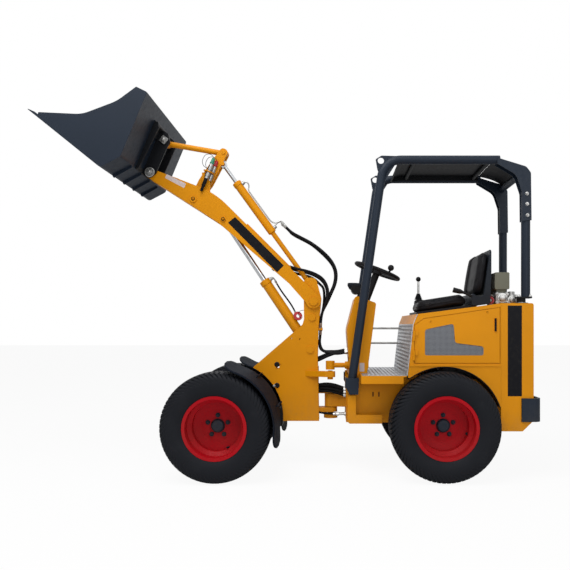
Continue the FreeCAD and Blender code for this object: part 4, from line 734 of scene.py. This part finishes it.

# ---------------------------------------------------------------- labels and bolts on the boom
# A blank black label and a blank pale sticker lie on each cheek.  At each of the two lower pins a
# small yellow bolt sits on a black disc of painted shade.


def side_sheet(outline, side, inner, outer):
    """A flat sheet with the outline (X, Z) between two distances from the middle plane."""
    outline = np.array(outline, float)[:: int(side)] / 1000
    count = len(outline)
    ring = [np.column_stack([outline[:, 0], np.full(count, side * y / 1000), outline[:, 1]])
            for y in (inner, outer)]
    step = np.arange(count)
    after = (step + 1) % count
    walls = np.stack([step, after, after + count, step + count], axis=1)
    return np.vstack(ring), [step[None, ::-1], (step + count)[None], walls]


def rounded(outline, radius, steps=5):
    """The outline's corners rounded by quadratic curves that start a radius from each corner."""
    outline = np.array(outline, float)
    back = np.roll(outline, 1, axis=0) - outline
    ahead = np.roll(outline, -1, axis=0) - outline
    back_size = np.linalg.norm(back, axis=1, keepdims=True)
    ahead_size = np.linalg.norm(ahead, axis=1, keepdims=True)
    start = outline + back / back_size * np.minimum(radius, back_size * 0.45)
    end = outline + ahead / ahead_size * np.minimum(radius, ahead_size * 0.45)
    t = np.linspace(0, 1, steps)[None, :, None]
    curve = ((1 - t) ** 2 * start[:, None] + 2 * t * (1 - t) * outline[:, None]
             + t ** 2 * end[:, None])
    return curve.reshape(-1, 2)


def label_film(name, hue, edge_hue):
    """Printed vinyl film with a slightly worn, dusty face."""
    finish = Finish(name)
    place = finish.node("ShaderNodeTexCoord", out="Object")
    wear = finish.noise(place, 30.0, 5.0, 0.7)
    shade = finish.mixed(finish.ramp(wear, 0.45, 0.8), hue, edge_hue)
    bump = finish.node("ShaderNodeBump", {}, {"Strength": 0.1, "Distance": 0.0003, "Height": wear})
    return finish.surface(Base_Color=shade, Normal=bump, Specular_IOR_Level=0.08,
                          Roughness=finish.ramp(wear, 0.3, 0.8, 0.38, 0.5))


black_film = label_film("black_label_film", colour(0.006, 0.006, 0.008),
                        colour(0.016, 0.015, 0.014))
pale_film = label_film("pale_label_film", colour(0.62, 0.52, 0.50), colour(0.50, 0.42, 0.38))
bolt = nut(0.019, 0.009, 0.005)
small_bolt = nut(0.013, 0.006, 0.0035)
shade_disc = turned([(0, 0), (0, 0.0135), (0.0014, 0.0135), (0.0014, 0)], 28)
# A near-black finish that is painted shade: it fills holes and slots and the space behind the vent
# screens.
painted_shade_black = moulded("painted_shade_black", colour(0.004, 0.004, 0.005), 0.6, 300.0, 0.2, 0.1)
for side, label in ((-1, "left"), (1, "right")):
    out = (0, side, 0)
    mesh_piece(f"{label}_boom_label", *side_sheet(rounded(
        [(-469, 1773), (-418, 1815), (-64, 1463), (-113, 1414)], 5), side, 75, 75.5), black_film,
        "boom", "plastic_black", False)
    mesh_piece(f"{label}_boom_sticker", *side_sheet(rounded(
        [(-926, 2098), (-912, 2126), (-773, 2056), (-787, 2024)], 5), side, 75, 75.4), pale_film,
        "boom", "plastic_black", False)
    # Black discs of painted shade stand for the dark hollows round the lower pins.
    mesh_piece(f"{label}_boom_pin_shade_disc", *together(set_out(shade_disc, [
        (-0.721, side * 0.0831, 1.946), (-0.504, side * 0.0841, 1.798)], out)), painted_shade_black,
        "boom", "plastic_black")
    mesh_piece(f"{label}_boom_pin_bolts", *together(set_out(small_bolt, [
        (-0.721, side * 0.0845, 1.946), (-0.504, side * 0.0855, 1.798)], out)), yellow,
        "boom", "paint_yellow")

grommet = turned([(0, 0), (0, 0.019), (0.003, 0.019), (0.005, 0.016), (0.005, 0.009),
                  (0.002, 0.008), (0.002, 0)], 28)
nipple = turned([(0, 0), (0, 0.010), (0.010, 0.010), (0.010, 0.007), (0.024, 0.007),
                 (0.026, 0.005), (0.026, 0)], 20)
for side, label in ((-1, "left"), (1, "right")):
    out = (0, side, 0)
    mesh_piece(f"{label}_cowl_sticker", *side_sheet(rounded(
        [(478, 706), (512, 706), (512, 766), (478, 766)], 5), side, 230, 230.4), pale_film,
        "rear_chassis", "plastic_black", False)
    mesh_piece(f"{label}_tower_grommets", *together(set_out(grommet, [
        (-0.115, side * 0.055, 0.745), (-0.115, side * 0.055, 0.593)], out)), plastic,
        "front_chassis", "plastic_black")
    fitted(f"{label}_grease_nipple", nipple, (-0.135, side * 0.055, 0.590), out, zinc,
           "front_chassis", "bare_steel")

# ---------------------------------------------------------------- tread plate
# Aluminium tread plate lies on the operator's floor and clads the riser in front of the seat:
# pairs of raised lozenges, pressed at right angles to each other in alternate places.


def lozenge(length, width, height):
    """A raised lozenge: a pointed base outline and a smaller one above it."""
    turn = np.arange(8) * math.pi / 4
    base = np.column_stack([np.cos(turn) * length / 2, np.sin(turn) * width / 2])
    points = np.vstack([np.column_stack([base, np.zeros(8)]),
                        np.column_stack([base * [0.8, 0.55], np.full(8, height)])])
    step = np.arange(8)
    after = (step + 1) % 8
    return points, [np.stack([step, after, after + 8, step + 8], axis=1), (step + 8)[None]]


def tread_rows(corner, across, along, up, pitch=26.0):
    """Lozenges over a flat panel from a corner, leaning left and right by turns."""
    corner, across, along = (np.array(v, float) / 1000 for v in (corner, across, along))
    wide, long = np.linalg.norm(across), np.linalg.norm(along)
    columns, rows = int(wide * 1000 / pitch), int(long * 1000 / pitch)
    one = lozenge(0.023, 0.0055, 0.0013)
    x, y, z = across / wide, along / long, np.array(up, float) / np.linalg.norm(up)
    i, j = np.meshgrid(np.arange(columns), np.arange(rows), indexing="ij")
    lean = np.where((i + j) % 2 == 0, math.pi / 4, -math.pi / 4).ravel()
    spots = (corner + np.outer((i.ravel() + 0.5) / columns, across)
             + np.outer((j.ravel() + 0.5) / rows, along))
    c, s = np.cos(lean), np.sin(lean)
    flat_x = one[0][:, 0] * c[:, None] - one[0][:, 1] * s[:, None]
    flat_y = one[0][:, 0] * s[:, None] + one[0][:, 1] * c[:, None]
    points = (spots[:, None] + flat_x[..., None] * x + flat_y[..., None] * y
              + one[0][None, :, 2, None] * z)
    count = np.arange(len(spots))[:, None, None] * len(one[0])
    return points.reshape(-1, 3), [(group[None] + count).reshape(-1, group.shape[1])
                                   for group in one[1]]


mesh_piece("floor_tread_plate", *together([
    bar((541, 782), (-453, 453), (692.2, 694.2)),
    tread_rows((541, -453, 694.2), (0, 906, 0), (241, 0, 0), (0, 0, 1)),
    bar((487, 541), (232, 453), (692.2, 694.2)), bar((487, 541), (-453, -232), (692.2, 694.2)),
    tread_rows((487, 232, 694.2), (0, 221, 0), (54, 0, 0), (0, 0, 1)),
    tread_rows((487, -453, 694.2), (0, 221, 0), (54, 0, 0), (0, 0, 1))]),
    tread_plate, "rear_chassis", "chequer_plate", False)
mesh_piece("riser_tread", *tread_rows(
    (784.4, -452, 700), (0, 904, 0), (39, 0, 336), (-0.993, 0, 0.115)), tread_plate,
    "rear_chassis", "chequer_plate", False)
mesh_piece("riser_top_cover", *slab([
    (823.4, -459, 1038.6), (850.4, -459, 1104.4), (850.4, 459, 1104.4),
    (823.4, 459, 1038.6)], -1.6), yellow, "rear_chassis", "paint_yellow", False)

# ---------------------------------------------------------------- engine doors and tail
# Each door has a grey perforated steel screen behind its cut-out, over a black sheet of painted
# shade, a grip slot and two quarter-turn latches whose slots are painted shade.  The tail carries a
# blank black label on each side.


def inside_outline(points, outline):
    """Which points lie in the outline: an odd number of its edges pass to their right."""
    x, y = points[:, 0, None], points[:, 1, None]
    x0, y0 = outline[:, 0], outline[:, 1]
    x1, y1 = np.roll(x0, -1), np.roll(y0, -1)
    crosses = ((y0 > y) != (y1 > y)) & (x < (x1 - x0) * (y - y0) / (y1 - y0 + 1e-9) + x0)
    return crosses.sum(axis=1) % 2 == 1


def punched_sheet(outline, cell, hole):
    """A sheet of square cells with an eight-sided hole in each, in two staggered sets."""
    low, high = outline.min(axis=0) - cell, outline.max(axis=0) + cell
    x, y = np.meshgrid(np.arange(low[0], high[0], cell), np.arange(low[1], high[1], cell))
    spots = np.column_stack([x.ravel(), y.ravel()])
    middle = outline.mean(axis=0)
    grown = middle + (outline - middle) * (1 + 1.2 * cell / np.abs(outline - middle).max())
    spots = spots[inside_outline(spots, grown)]
    square = np.array([(1, 0), (1, 1), (0, 1), (-1, 1), (-1, 0), (-1, -1), (0, -1),
                       (1, -1)]) * cell / 2
    turn = np.arange(8) * math.pi / 4
    round_hole = np.column_stack([np.cos(turn), np.sin(turn)]) * hole / 2
    shape = np.vstack([square, round_hole])
    step = np.arange(8)
    after = (step + 1) % 8
    quads = np.stack([step, after, after + 8, step + 8], axis=1)
    points = (spots[:, None] + shape[None]).reshape(-1, 2)
    return points, [(quads[None] + np.arange(len(spots))[:, None, None] * 16).reshape(-1, 4)]


screen_grey = paint("grey_screen_coat", colour(0.20, 0.21, 0.23), 0.5, 0.2, 0.1, 0.2)
vent = rounded([(904, 829), (1294, 829), (1294, 889), (1105, 912), (1095, 1041), (904, 1001)], 26)
latch = turned([(0, 0), (0, 0.0095), (0.0018, 0.0095), (0.003, 0.008), (0.003, 0.0)], 28)
for side, label in ((-1, "left"), (1, "right")):
    door = f"{label}_door"
    # A black sheet of painted shade behind the screen stands for the dark inside of the engine bay.
    mesh_piece(f"{label}_vent_shade_sheet", *side_sheet(vent, side, 456.05, 456.35), painted_shade_black,
               door, "plastic_black", False)
    flat, cells = punched_sheet(vent, 8.0, 4.6)
    spots = np.column_stack([flat[:, 0], np.full(len(flat), side * 457.4), flat[:, 1]]) / 1000
    mesh_piece(f"{label}_vent_screen", spots, cells, screen_grey, door, "paint_slate", False)
    # The grip slot is a black sheet of painted shade on the door's face.
    mesh_piece(f"{label}_door_grip_shade", *side_sheet(rounded(
        [(1366, 988), (1380, 988), (1380, 1077), (1366, 1077)], 5), side, 465, 465.8), painted_shade_black,
        door, "plastic_black", False)
    out = (0, side, 0)
    mesh_piece(f"{label}_door_latches", *together(set_out(latch, [
        (x / 1000, side * 0.4602, z / 1000) for x, z in ((941, 1058), (1317, 1122))], out)), yellow,
        door, "paint_yellow")
    # The latches' slots are thin strips of painted shade.
    mesh_piece(f"{label}_latch_slot_shade", *together([side_sheet([
        (x - 5, z - 1.2), (x + 5, z - 1.2), (x + 5, z + 1.2), (x - 5, z + 1.2)], side, 463.1, 463.5)
        for x, z in ((941, 1058), (1317, 1122))]), painted_shade_black, door, "plastic_black", False)
    mesh_piece(f"{label}_tail_label", *side_sheet(rounded(
        [(1455, 557), (1549, 557), (1549, 1161), (1455, 1161)], 4), side, 460.1, 460.7), black_film,
        "rear_chassis", "plastic_black", False)
    # Two slots in each frame side are black sheets of painted shade.
    mesh_piece(f"{label}_frame_slot_shade", *together([side_sheet(rounded(
        [(x - 4, 532), (x + 4, 532), (x + 4, 566), (x - 4, 566)], 4), side, 250, 250.6)
        for x in (571, 612)]), painted_shade_black, "rear_chassis", "plastic_black", False)
fins = [bar((1600, 1612), (-318, 318), (z, z + 1.2)) for z in range(640, 1062, 9)]
tubes = [bar((1601, 1611), (y, y + 3), (640, 1060)) for y in range(-316, 318, 18)]
mesh_piece("radiator_core", *together(fins + tubes), iron, "rear_chassis", "engine_grey", False)

# ---------------------------------------------------------------- canopy
# The roof sheet runs on behind the last cross bar and turns down with the rear corner plates.
# Three plated bolts clamp each corner plate on its post.


def swept_sheet(profile, half, metal, columns=24):
    """A sheet whose section, a run of (X, Z) points, is carried across from side to side."""
    profile = smooth_run(np.array(profile, float)[:, [0, 0, 1]] * [1, 0, 1] / 1000, 40)
    across = np.linspace(-half, half, columns) / 1000
    sheets = []
    for drop in (0, metal / 1000):
        shape = np.repeat(profile[:, None], columns, axis=1)
        shape[..., 1] = across
        shape[..., 2] -= drop
        sheets.append((shape.reshape(-1, 3), [grid_faces(40, columns)]))
    return together(sheets)


mesh_piece("roof_rear_sheet", *swept_sheet(
    [(1419, 2186), (1470, 2176), (1530, 2158), (1578, 2134), (1606, 2108)], 264, 3), black,
    "rear_chassis", "paint_black")
for side, label in ((-1, "left"), (1, "right")):
    mesh_piece(f"{label}_canopy_bolts", *together(set_out(bolt, [
        (x / 1000, side * 0.3353, z / 1000) for x, z in ((1620, 1932), (1622, 1861), (1624, 1785))],
        (0, side, 0))), zinc, "rear_chassis", "bare_steel")

# ---------------------------------------------------------------- front wheel guards
# Each guard is one bent steel strip, as wide as the tyre, with rolled long edges and rounded
# ends that turn away from the tyre.  Two webs weld it to the tower.


def guard_sheet(name, side, replaced):
    """A strip bent round the wheel's axis, as a closed skin.

    Its radius is the tyre's plus a gap, growing as the square of the way into either end; its
    width shrinks at the ends along a superellipse; its long edges roll towards the tyre."""
    axle, strip, metal_gauge = np.array([-475, 362]), 0.3575, 0.0045
    turn = np.radians(np.linspace(-21, 84, 120))
    along = np.linspace(-1, 1, 120)
    across = np.sin(np.linspace(-math.pi / 2, math.pi / 2, 40))
    near_end = np.clip((np.abs(along) - 0.80) / 0.20, 0, 1)
    width = 0.2625 * (1 - near_end ** 2.6) ** (1 / 2.6)
    radius = 0.3815 + 0.034 * np.clip((np.abs(along) - 0.72) / 0.28, 0, 1) ** 2
    roll = 0.006 * np.clip((np.abs(across) - 0.93) / 0.07, 0, 1) ** 2
    skins = []
    for metal in (0.0, metal_gauge):
        far = radius[:, None] + metal - roll[None] + 0.006
        skins.append(np.stack([-0.475 + far * np.cos(turn)[:, None],
                               side * (strip + width[:, None] * across[None]),
                               0.362 + far * np.sin(turn)[:, None]], axis=2))
    rows, columns = skins[0].shape[:2]
    one = grid_faces(rows, columns)
    edge = np.concatenate([np.arange(columns), np.arange(1, rows) * columns + columns - 1,
                           (rows - 1) * columns + np.arange(columns - 2, -1, -1),
                           np.arange(rows - 2, 0, -1) * columns])
    after = np.roll(edge, -1)
    rim = np.stack([edge, after, after + rows * columns, edge + rows * columns], axis=1)
    sheet = (np.concatenate([skin.reshape(-1, 3) for skin in skins]),
             [one[:, ::-1], one + rows * columns, rim])
    webs = []
    for angle in (16, 52):
        way = np.array([math.cos(math.radians(angle)), math.sin(math.radians(angle))])
        flat = np.array([-way[1], way[0]]) * 3
        inner, outer = axle + 392 * way, axle + 412 * way
        corners = np.array([inner - flat, outer - flat, outer + flat, inner + flat])
        webs.append(side_sheet(corners, side, 55.5, 330))
    made = mesh_piece(name, *together([sheet] + webs), guard, "front_chassis", "paint_slate")
    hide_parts(replaced)


guard_sheet("left_wheel_guard", -1, "front_left_fender")
guard_sheet("right_wheel_guard", 1, "front_right_fender")

# ---------------------------------------------------------------- operator's seat
# Two foam pads in black vinyl are sewn with a centre panel and side bolsters, and stand in a
# moulded shell on the steel pan.  A belt buckle lies beside the backrest.


def vinyl_skin():
    """Grained vinyl: small cells, broad soft creases and a dusty, worn shine on top."""
    finish = Finish("black_seat_vinyl")
    place = finish.node("ShaderNodeTexCoord", out="Object")
    cells = finish.node("ShaderNodeTexVoronoi", {}, {"Vector": place, "Scale": 520.0})
    crease = finish.noise(place, 17.0, 4.0, 0.55)
    cloud = finish.noise(place, 6.0, 5.0, 0.6)
    shade = finish.mixed(finish.ramp(cloud, 0.45, 0.8) * 0.5, colour(0.008, 0.008, 0.010),
                         colour(0.022, 0.021, 0.021))
    fine = finish.node("ShaderNodeBump", {}, {"Strength": 0.25, "Distance": 0.0005,
                                             "Height": cells})
    bump = finish.node("ShaderNodeBump", {}, {"Strength": 0.35, "Distance": 0.004,
                                             "Height": crease, "Normal": fine})
    return finish.surface(Base_Color=shade, Normal=bump, Specular_IOR_Level=0.1,
                          Roughness=finish.ramp(cloud, 0.3, 0.75, 0.45, 0.6))


vinyl = vinyl_skin()


def baked(piece):
    """The piece's mesh replaced by its own with every modifier worked in."""
    bpy.context.view_layer.update()
    made = piece.evaluated_get(bpy.context.evaluated_depsgraph_get())
    mesh = bpy.data.meshes.new_from_object(made)
    piece.modifiers.clear()
    piece.data = mesh
    points = np.empty(len(mesh.vertices) * 3)
    mesh.vertices.foreach_get("co", points)
    return points.reshape(-1, 3)


def pad_form(outline, half, push, slices=60, around=96):
    """A pad's outline carried across the seat, closed and rounded at both sides.

    Each slice is the outline scaled about its middle by (1 - |y / half| ** 7) ** (1 / 3.2), and
    its front is pushed back by push * (y / half) ** 4.  The second result is each slice's share
    of the centre panel: 1 between the seams, falling smoothly to 0 beyond them."""
    ring = smooth_run(np.array([(x, 0, z) for x, z in rounded(outline, 26)]
                               + [(outline[0][0], 0, outline[0][1])]), around)[:-1]
    middle = (ring.min(axis=0) + ring.max(axis=0)) / 2
    share = np.sin(np.linspace(-math.pi / 2, math.pi / 2, slices))
    size = (1 - np.abs(share) ** 7) ** (1 / 3.2)
    shape = middle + (ring[None] - middle) * size[:, None, None]
    shape[..., 1] = (share * half)[:, None]
    front = 1 - (ring[:, 0] - ring[:, 0].min()) / np.ptp(ring[:, 0])
    shape[..., 0] += push * np.abs(share[:, None]) ** 4 * front
    panel = 1 / (1 + np.exp((np.abs(share) * half - 118) / 7))
    return shape, panel


def stuffed(name, shape, replaced, cap):
    """A pad's skin, remeshed evenly and blown out by cloth pressure up to a cap, in metres."""
    points = shape / 1000
    faces = [grid_faces(points.shape[0], points.shape[1], False, True)]
    pad = mesh_piece(name, points.reshape(-1, 3), faces, vinyl, None, "seat_vinyl")
    mesh = pad.modifiers.new("even", "REMESH")
    mesh.mode, mesh.voxel_size = "VOXEL", 0.006
    before = baked(pad)
    cloth = pad.modifiers.new("skin", "CLOTH")
    cloth.settings.use_pressure = True
    cloth.settings.uniform_pressure_force = 4.0
    cloth.settings.effector_weights.gravity = 0.0
    cloth.settings.quality = 5
    for step in range(1, 21):
        scene.frame_set(step)
    moved = baked(pad) - before
    scene.frame_set(1)
    size = np.linalg.norm(moved, axis=1, keepdims=True)
    after = before + moved * np.minimum(1, cap / np.maximum(size, 1e-9))
    pad.data.vertices.foreach_set("co", after.ravel())
    pad.data.update()
    finer = pad.modifiers.new("finer", "SUBSURF")
    finer.levels = finer.render_levels = 1
    baked(pad)
    pad.data.materials.clear()
    pad.data.materials.append(vinyl)
    pad.data.polygons.foreach_set("use_smooth", [True] * len(pad.data.polygons))
    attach(pad, "rear_chassis")
    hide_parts(replaced)
    return pad


def welt(name, pad, points, radius=0.0024):
    """A sewn welt along the skin of a pad: each point of its path goes to the nearest spot."""
    path = smooth_run(np.array(points, float) / 1000, 90)
    near = np.array([tuple(pad.closest_point_on_mesh(tuple(spot))[1]) for spot in path])
    return mesh_piece(name, *tube_along(near, radius, 8), vinyl, "rear_chassis", "seat_vinyl")


panel_sink = 13
form, panel = pad_form([(878, 1130), (888, 1196), (1206, 1244), (1250, 1216), (1243, 1180)],
                       226, 62)
top = form[..., 2] > 1130 + 0.149 * (form[..., 0] - 878) + 20
form[..., 2] -= panel_sink * panel[:, None] * top
cushion = stuffed("seat_cushion_pad", form, "seat_cushion", 0.009)
form, panel = pad_form([(1289, 1270), (1300, 1246), (1340, 1244), (1384, 1544), (1364, 1556),
                        (1334, 1534)], 226, 0)
fore = form[..., 0] < 1330 + 0.156 * (form[..., 2] - 1242)
form[..., 0] += panel_sink * panel[:, None] * fore
backrest = stuffed("seat_backrest_pad", form, "seat_backrest", 0.008)
for y, label in ((-118, "left"), (118, "right")):
    welt(f"{label}_cushion_seam", cushion, [
        (874, y, 1150), (876, y, 1190), (900, y, 1206), (1000, y, 1220), (1120, y, 1238),
        (1210, y, 1248), (1258, y, 1222)])
    welt(f"{label}_backrest_seam", backrest, [
        (1300, y, 1252), (1308, y, 1300), (1325, y, 1400), (1340, y, 1500), (1350, y, 1545),
        (1372, y, 1562), (1390, y, 1545)])
welt("cushion_front_seam", cushion, [
    (1240, -236, 1216), (1080, -238, 1196), (960, -236, 1176), (896, -150, 1166), (880, 0, 1164),
    (896, 150, 1166), (960, 236, 1176), (1080, 238, 1196), (1240, 236, 1216)], 0.003)
welt("backrest_edge_seam", backrest, [
    (1312, -236, 1262), (1334, -236, 1380), (1352, -234, 1500), (1356, -180, 1560),
    (1358, 0, 1568), (1356, 180, 1560), (1352, 234, 1500), (1334, 236, 1380),
    (1312, 236, 1262)], 0.003)
mesh_piece("seat_shell", *side_sheet(rounded([
    (1266, 1166), (1300, 1170), (1396, 1180), (1404, 1400), (1404, 1554), (1394, 1560),
    (1349, 1234), (1300, 1234), (1276, 1256), (1263, 1240)], 14), 1, -226, 226), slate_plastic,
    "rear_chassis", "plastic_black", True, 0.008)
mesh_piece("belt_buckle", *tube_along(smooth_run(np.array([
    (1262, -228, 1234), (1232, -226, 1250), (1196, -220, 1264), (1150, -212, 1276),
    (1136, -210, 1280)]) / 1000, 24), 0.001 * np.interp(np.arange(24), [0, 10, 13, 22, 23],
                                                         [9, 10, 17, 19, 15]), 20),
    plastic, "rear_chassis", "plastic_black")
mesh_piece("seat_adjuster", *together([
    bar((944, 956), (-246, -214), (1166, 1176)), bar((938, 962), (-252, -244), (1160, 1182))]),
    plastic, "rear_chassis", "plastic_black", False, 0.003)

# ---------------------------------------------------------------- behind the seat
# A cast pump body with its fittings stands under the grey box, with a red battery switch ring
# beside it.  The silencer is rough plated steel.

cast = steel("cast_aluminium", colour(0.40, 0.40, 0.39), 0.45, 70.0)
mesh_piece("pump_body", *together([
    bar((1440, 1530), (-196, -120), (1180, 1262)),
    bar((1532, 1584), (-190, -132), (1180, 1238))]), cast, "rear_chassis", "bare_steel", True,
    0.008)
flange = turned([(0, 0), (0, 0.034), (0.010, 0.034), (0.011, 0.024), (0.030, 0.024),
                 (0.032, 0.020), (0.032, 0)], 32)
mesh_piece("pump_flanges", *together(
    set_out(flange, [(1.486, -0.196, 1.222), (1.560, -0.190, 1.210)], (0, -1, 0))
    + set_out(bolt, [(x, -0.197, z) for x in (1.452, 1.520) for z in (1.192, 1.250)], (0, -1, 0))
    + [(facing(flange[0], (1.56, -0.16, 1.238), (0, 0, 1)), flange[1])]), zinc, "rear_chassis",
    "bare_steel")
ring = turned([(-0.006, 0.014), (-0.007, 0.019), (-0.006, 0.026), (0, 0.0285), (0.006, 0.026),
               (0.007, 0.019), (0.006, 0.014), (-0.006, 0.014)], 36)
fitted("battery_switch_ring", ring, (1.410, -0.165, 1.207), (-0.2, -1, 0.1), red_plastic,
       "rear_chassis", "plastic_black")
mesh_piece("battery_switch_body", *together(set_out(turned([
    (-0.03, 0), (-0.03, 0.012), (0.004, 0.012), (0.006, 0.009), (0.006, 0)], 24),
    [(1.410, -0.160, 1.207)], (-0.2, -1, 0.1)) + [
    bar((1404, 1430), (-150, -128), (1178, 1216))]), cast, "rear_chassis", "bare_steel")
mesh_piece("post_foot_nuts", *together(
    set_out(bolt, [(x, y + side, 1.226) for x in (1.568, 1.645) for y in (-0.3, 0.3)
                   for side in (-0.026, 0.026)], (0, 0, 1))
    + set_out(flange, [(1.590, y, 1.1776) for y in (-0.3, 0.3)], (0, 0, 1))), zinc,
    "rear_chassis", "bare_steel")
pipe("pump_pipe", [(1436, -150, 1236), (1420, -152, 1244), (1408, -156, 1240), (1404, -158, 1228),
                   (1406, -160, 1216)], 7, zinc, "rear_chassis", "bare_steel", 30)

# ---------------------------------------------------------------- controls
# The lever has a plated stem and a pleated rubber gaiter.  The steering wheel carries a moulded
# centre cap, and the instruments sit in a round moulded bowl with a plated bezel.

sleeve = turned([(0.0, 0.0076), (0.0, 0.0088), (0.098, 0.0088), (0.1, 0.0076)], 20)
fitted("lever_stem", sleeve, (0.957, 0.280, 1.272), (0, 0, 1), zinc, "rear_chassis",
       "bare_steel")
heights = np.linspace(0, 0.046, 40)
folds = 0.030 - heights * 0.36 + 0.0028 * np.cos(heights / 0.046 * 2 * math.pi * 5)
gaiter = turned(np.column_stack([heights, folds]), 40)
fitted("lever_gaiter", gaiter, (0.957, 0.280, 1.2298), (0, 0, 1), rubber, "rear_chassis",
       "tyre_rubber")
column_top = np.array([0.618, 0.0, 1.428])
tilt = math.radians(21)
wheel_axis = np.array([math.sin(tilt), 0, math.cos(tilt)])
cap = turned([(0, 0), (0, 0.034), (0.006, 0.034), (0.012, 0.030), (0.016, 0.020), (0.0175, 0)], 40)
fitted("steering_wheel_cap", cap, column_top + 0.012 * wheel_axis, wheel_axis, plastic,
       "steering_wheel", "plastic_black")
bowl = turned([(-0.034, 0.0), (-0.034, 0.040), (-0.022, 0.058), (-0.004, 0.069), (0.0, 0.072),
               (0.018, 0.072), (0.021, 0.069), (0.021, 0.062), (0.017, 0.060), (0.017, 0.0)], 48)
bowl_place, bowl_axis = (0.470, 0, 1.316), np.array([0.06, 0, 1.0])
fitted("instrument_bowl", bowl, bowl_place, bowl_axis, slate_plastic, "rear_chassis",
       "plastic_black")
bezel = turned([(0.0170, 0.0), (0.0185, 0.0), (0.0185, 0.054), (0.0215, 0.056), (0.0220, 0.0600),
                (0.0205, 0.0615), (0.0170, 0.0610)], 48)
fitted("instrument_bezel", bezel, bowl_place, bowl_axis, zinc, "rear_chassis", "bare_steel")

# ---------------------------------------------------------------- pins and bolts at the bucket
# The carrier's pins end in zinc-plated keepers held by a bolt: a square plate on each end of
# the upper pin and a round cup on each end of the lower one.

keeper = rounded([(-25, -25), (25, -25), (25, 25), (-25, 25)], 9)
cup = turned([(0, 0), (0, 0.036), (0.005, 0.036), (0.008, 0.033), (0.008, 0.026), (0.003, 0.023),
              (0.003, 0)], 40)
big_bolt = nut(0.026, 0.012, 0.008)
upper_pin = np.array([-927.0, 2365.0])
turn = math.radians(38.8)
turned_keeper = keeper @ np.array([[math.cos(turn), -math.sin(turn)],
                                   [math.sin(turn), math.cos(turn)]])
for side, label in ((-1, "left"), (1, "right")):
    out = (0, side, 0)
    mesh_piece(f"{label}_upper_keeper", *together(
        [side_sheet(turned_keeper + upper_pin, side, 106, 111)]
        + set_out(big_bolt, [(-0.927, side * 0.111, 2.365)], out)), zinc, "bucket", "bare_steel",
        False, 0.001)
    mesh_piece(f"{label}_lower_keeper", *together(
        set_out(cup, [(-1.028, side * 0.1042, 2.133)], out)
        + set_out(big_bolt, [(-1.028, side * 0.1072, 2.133)], out)), zinc, "bucket", "bare_steel")
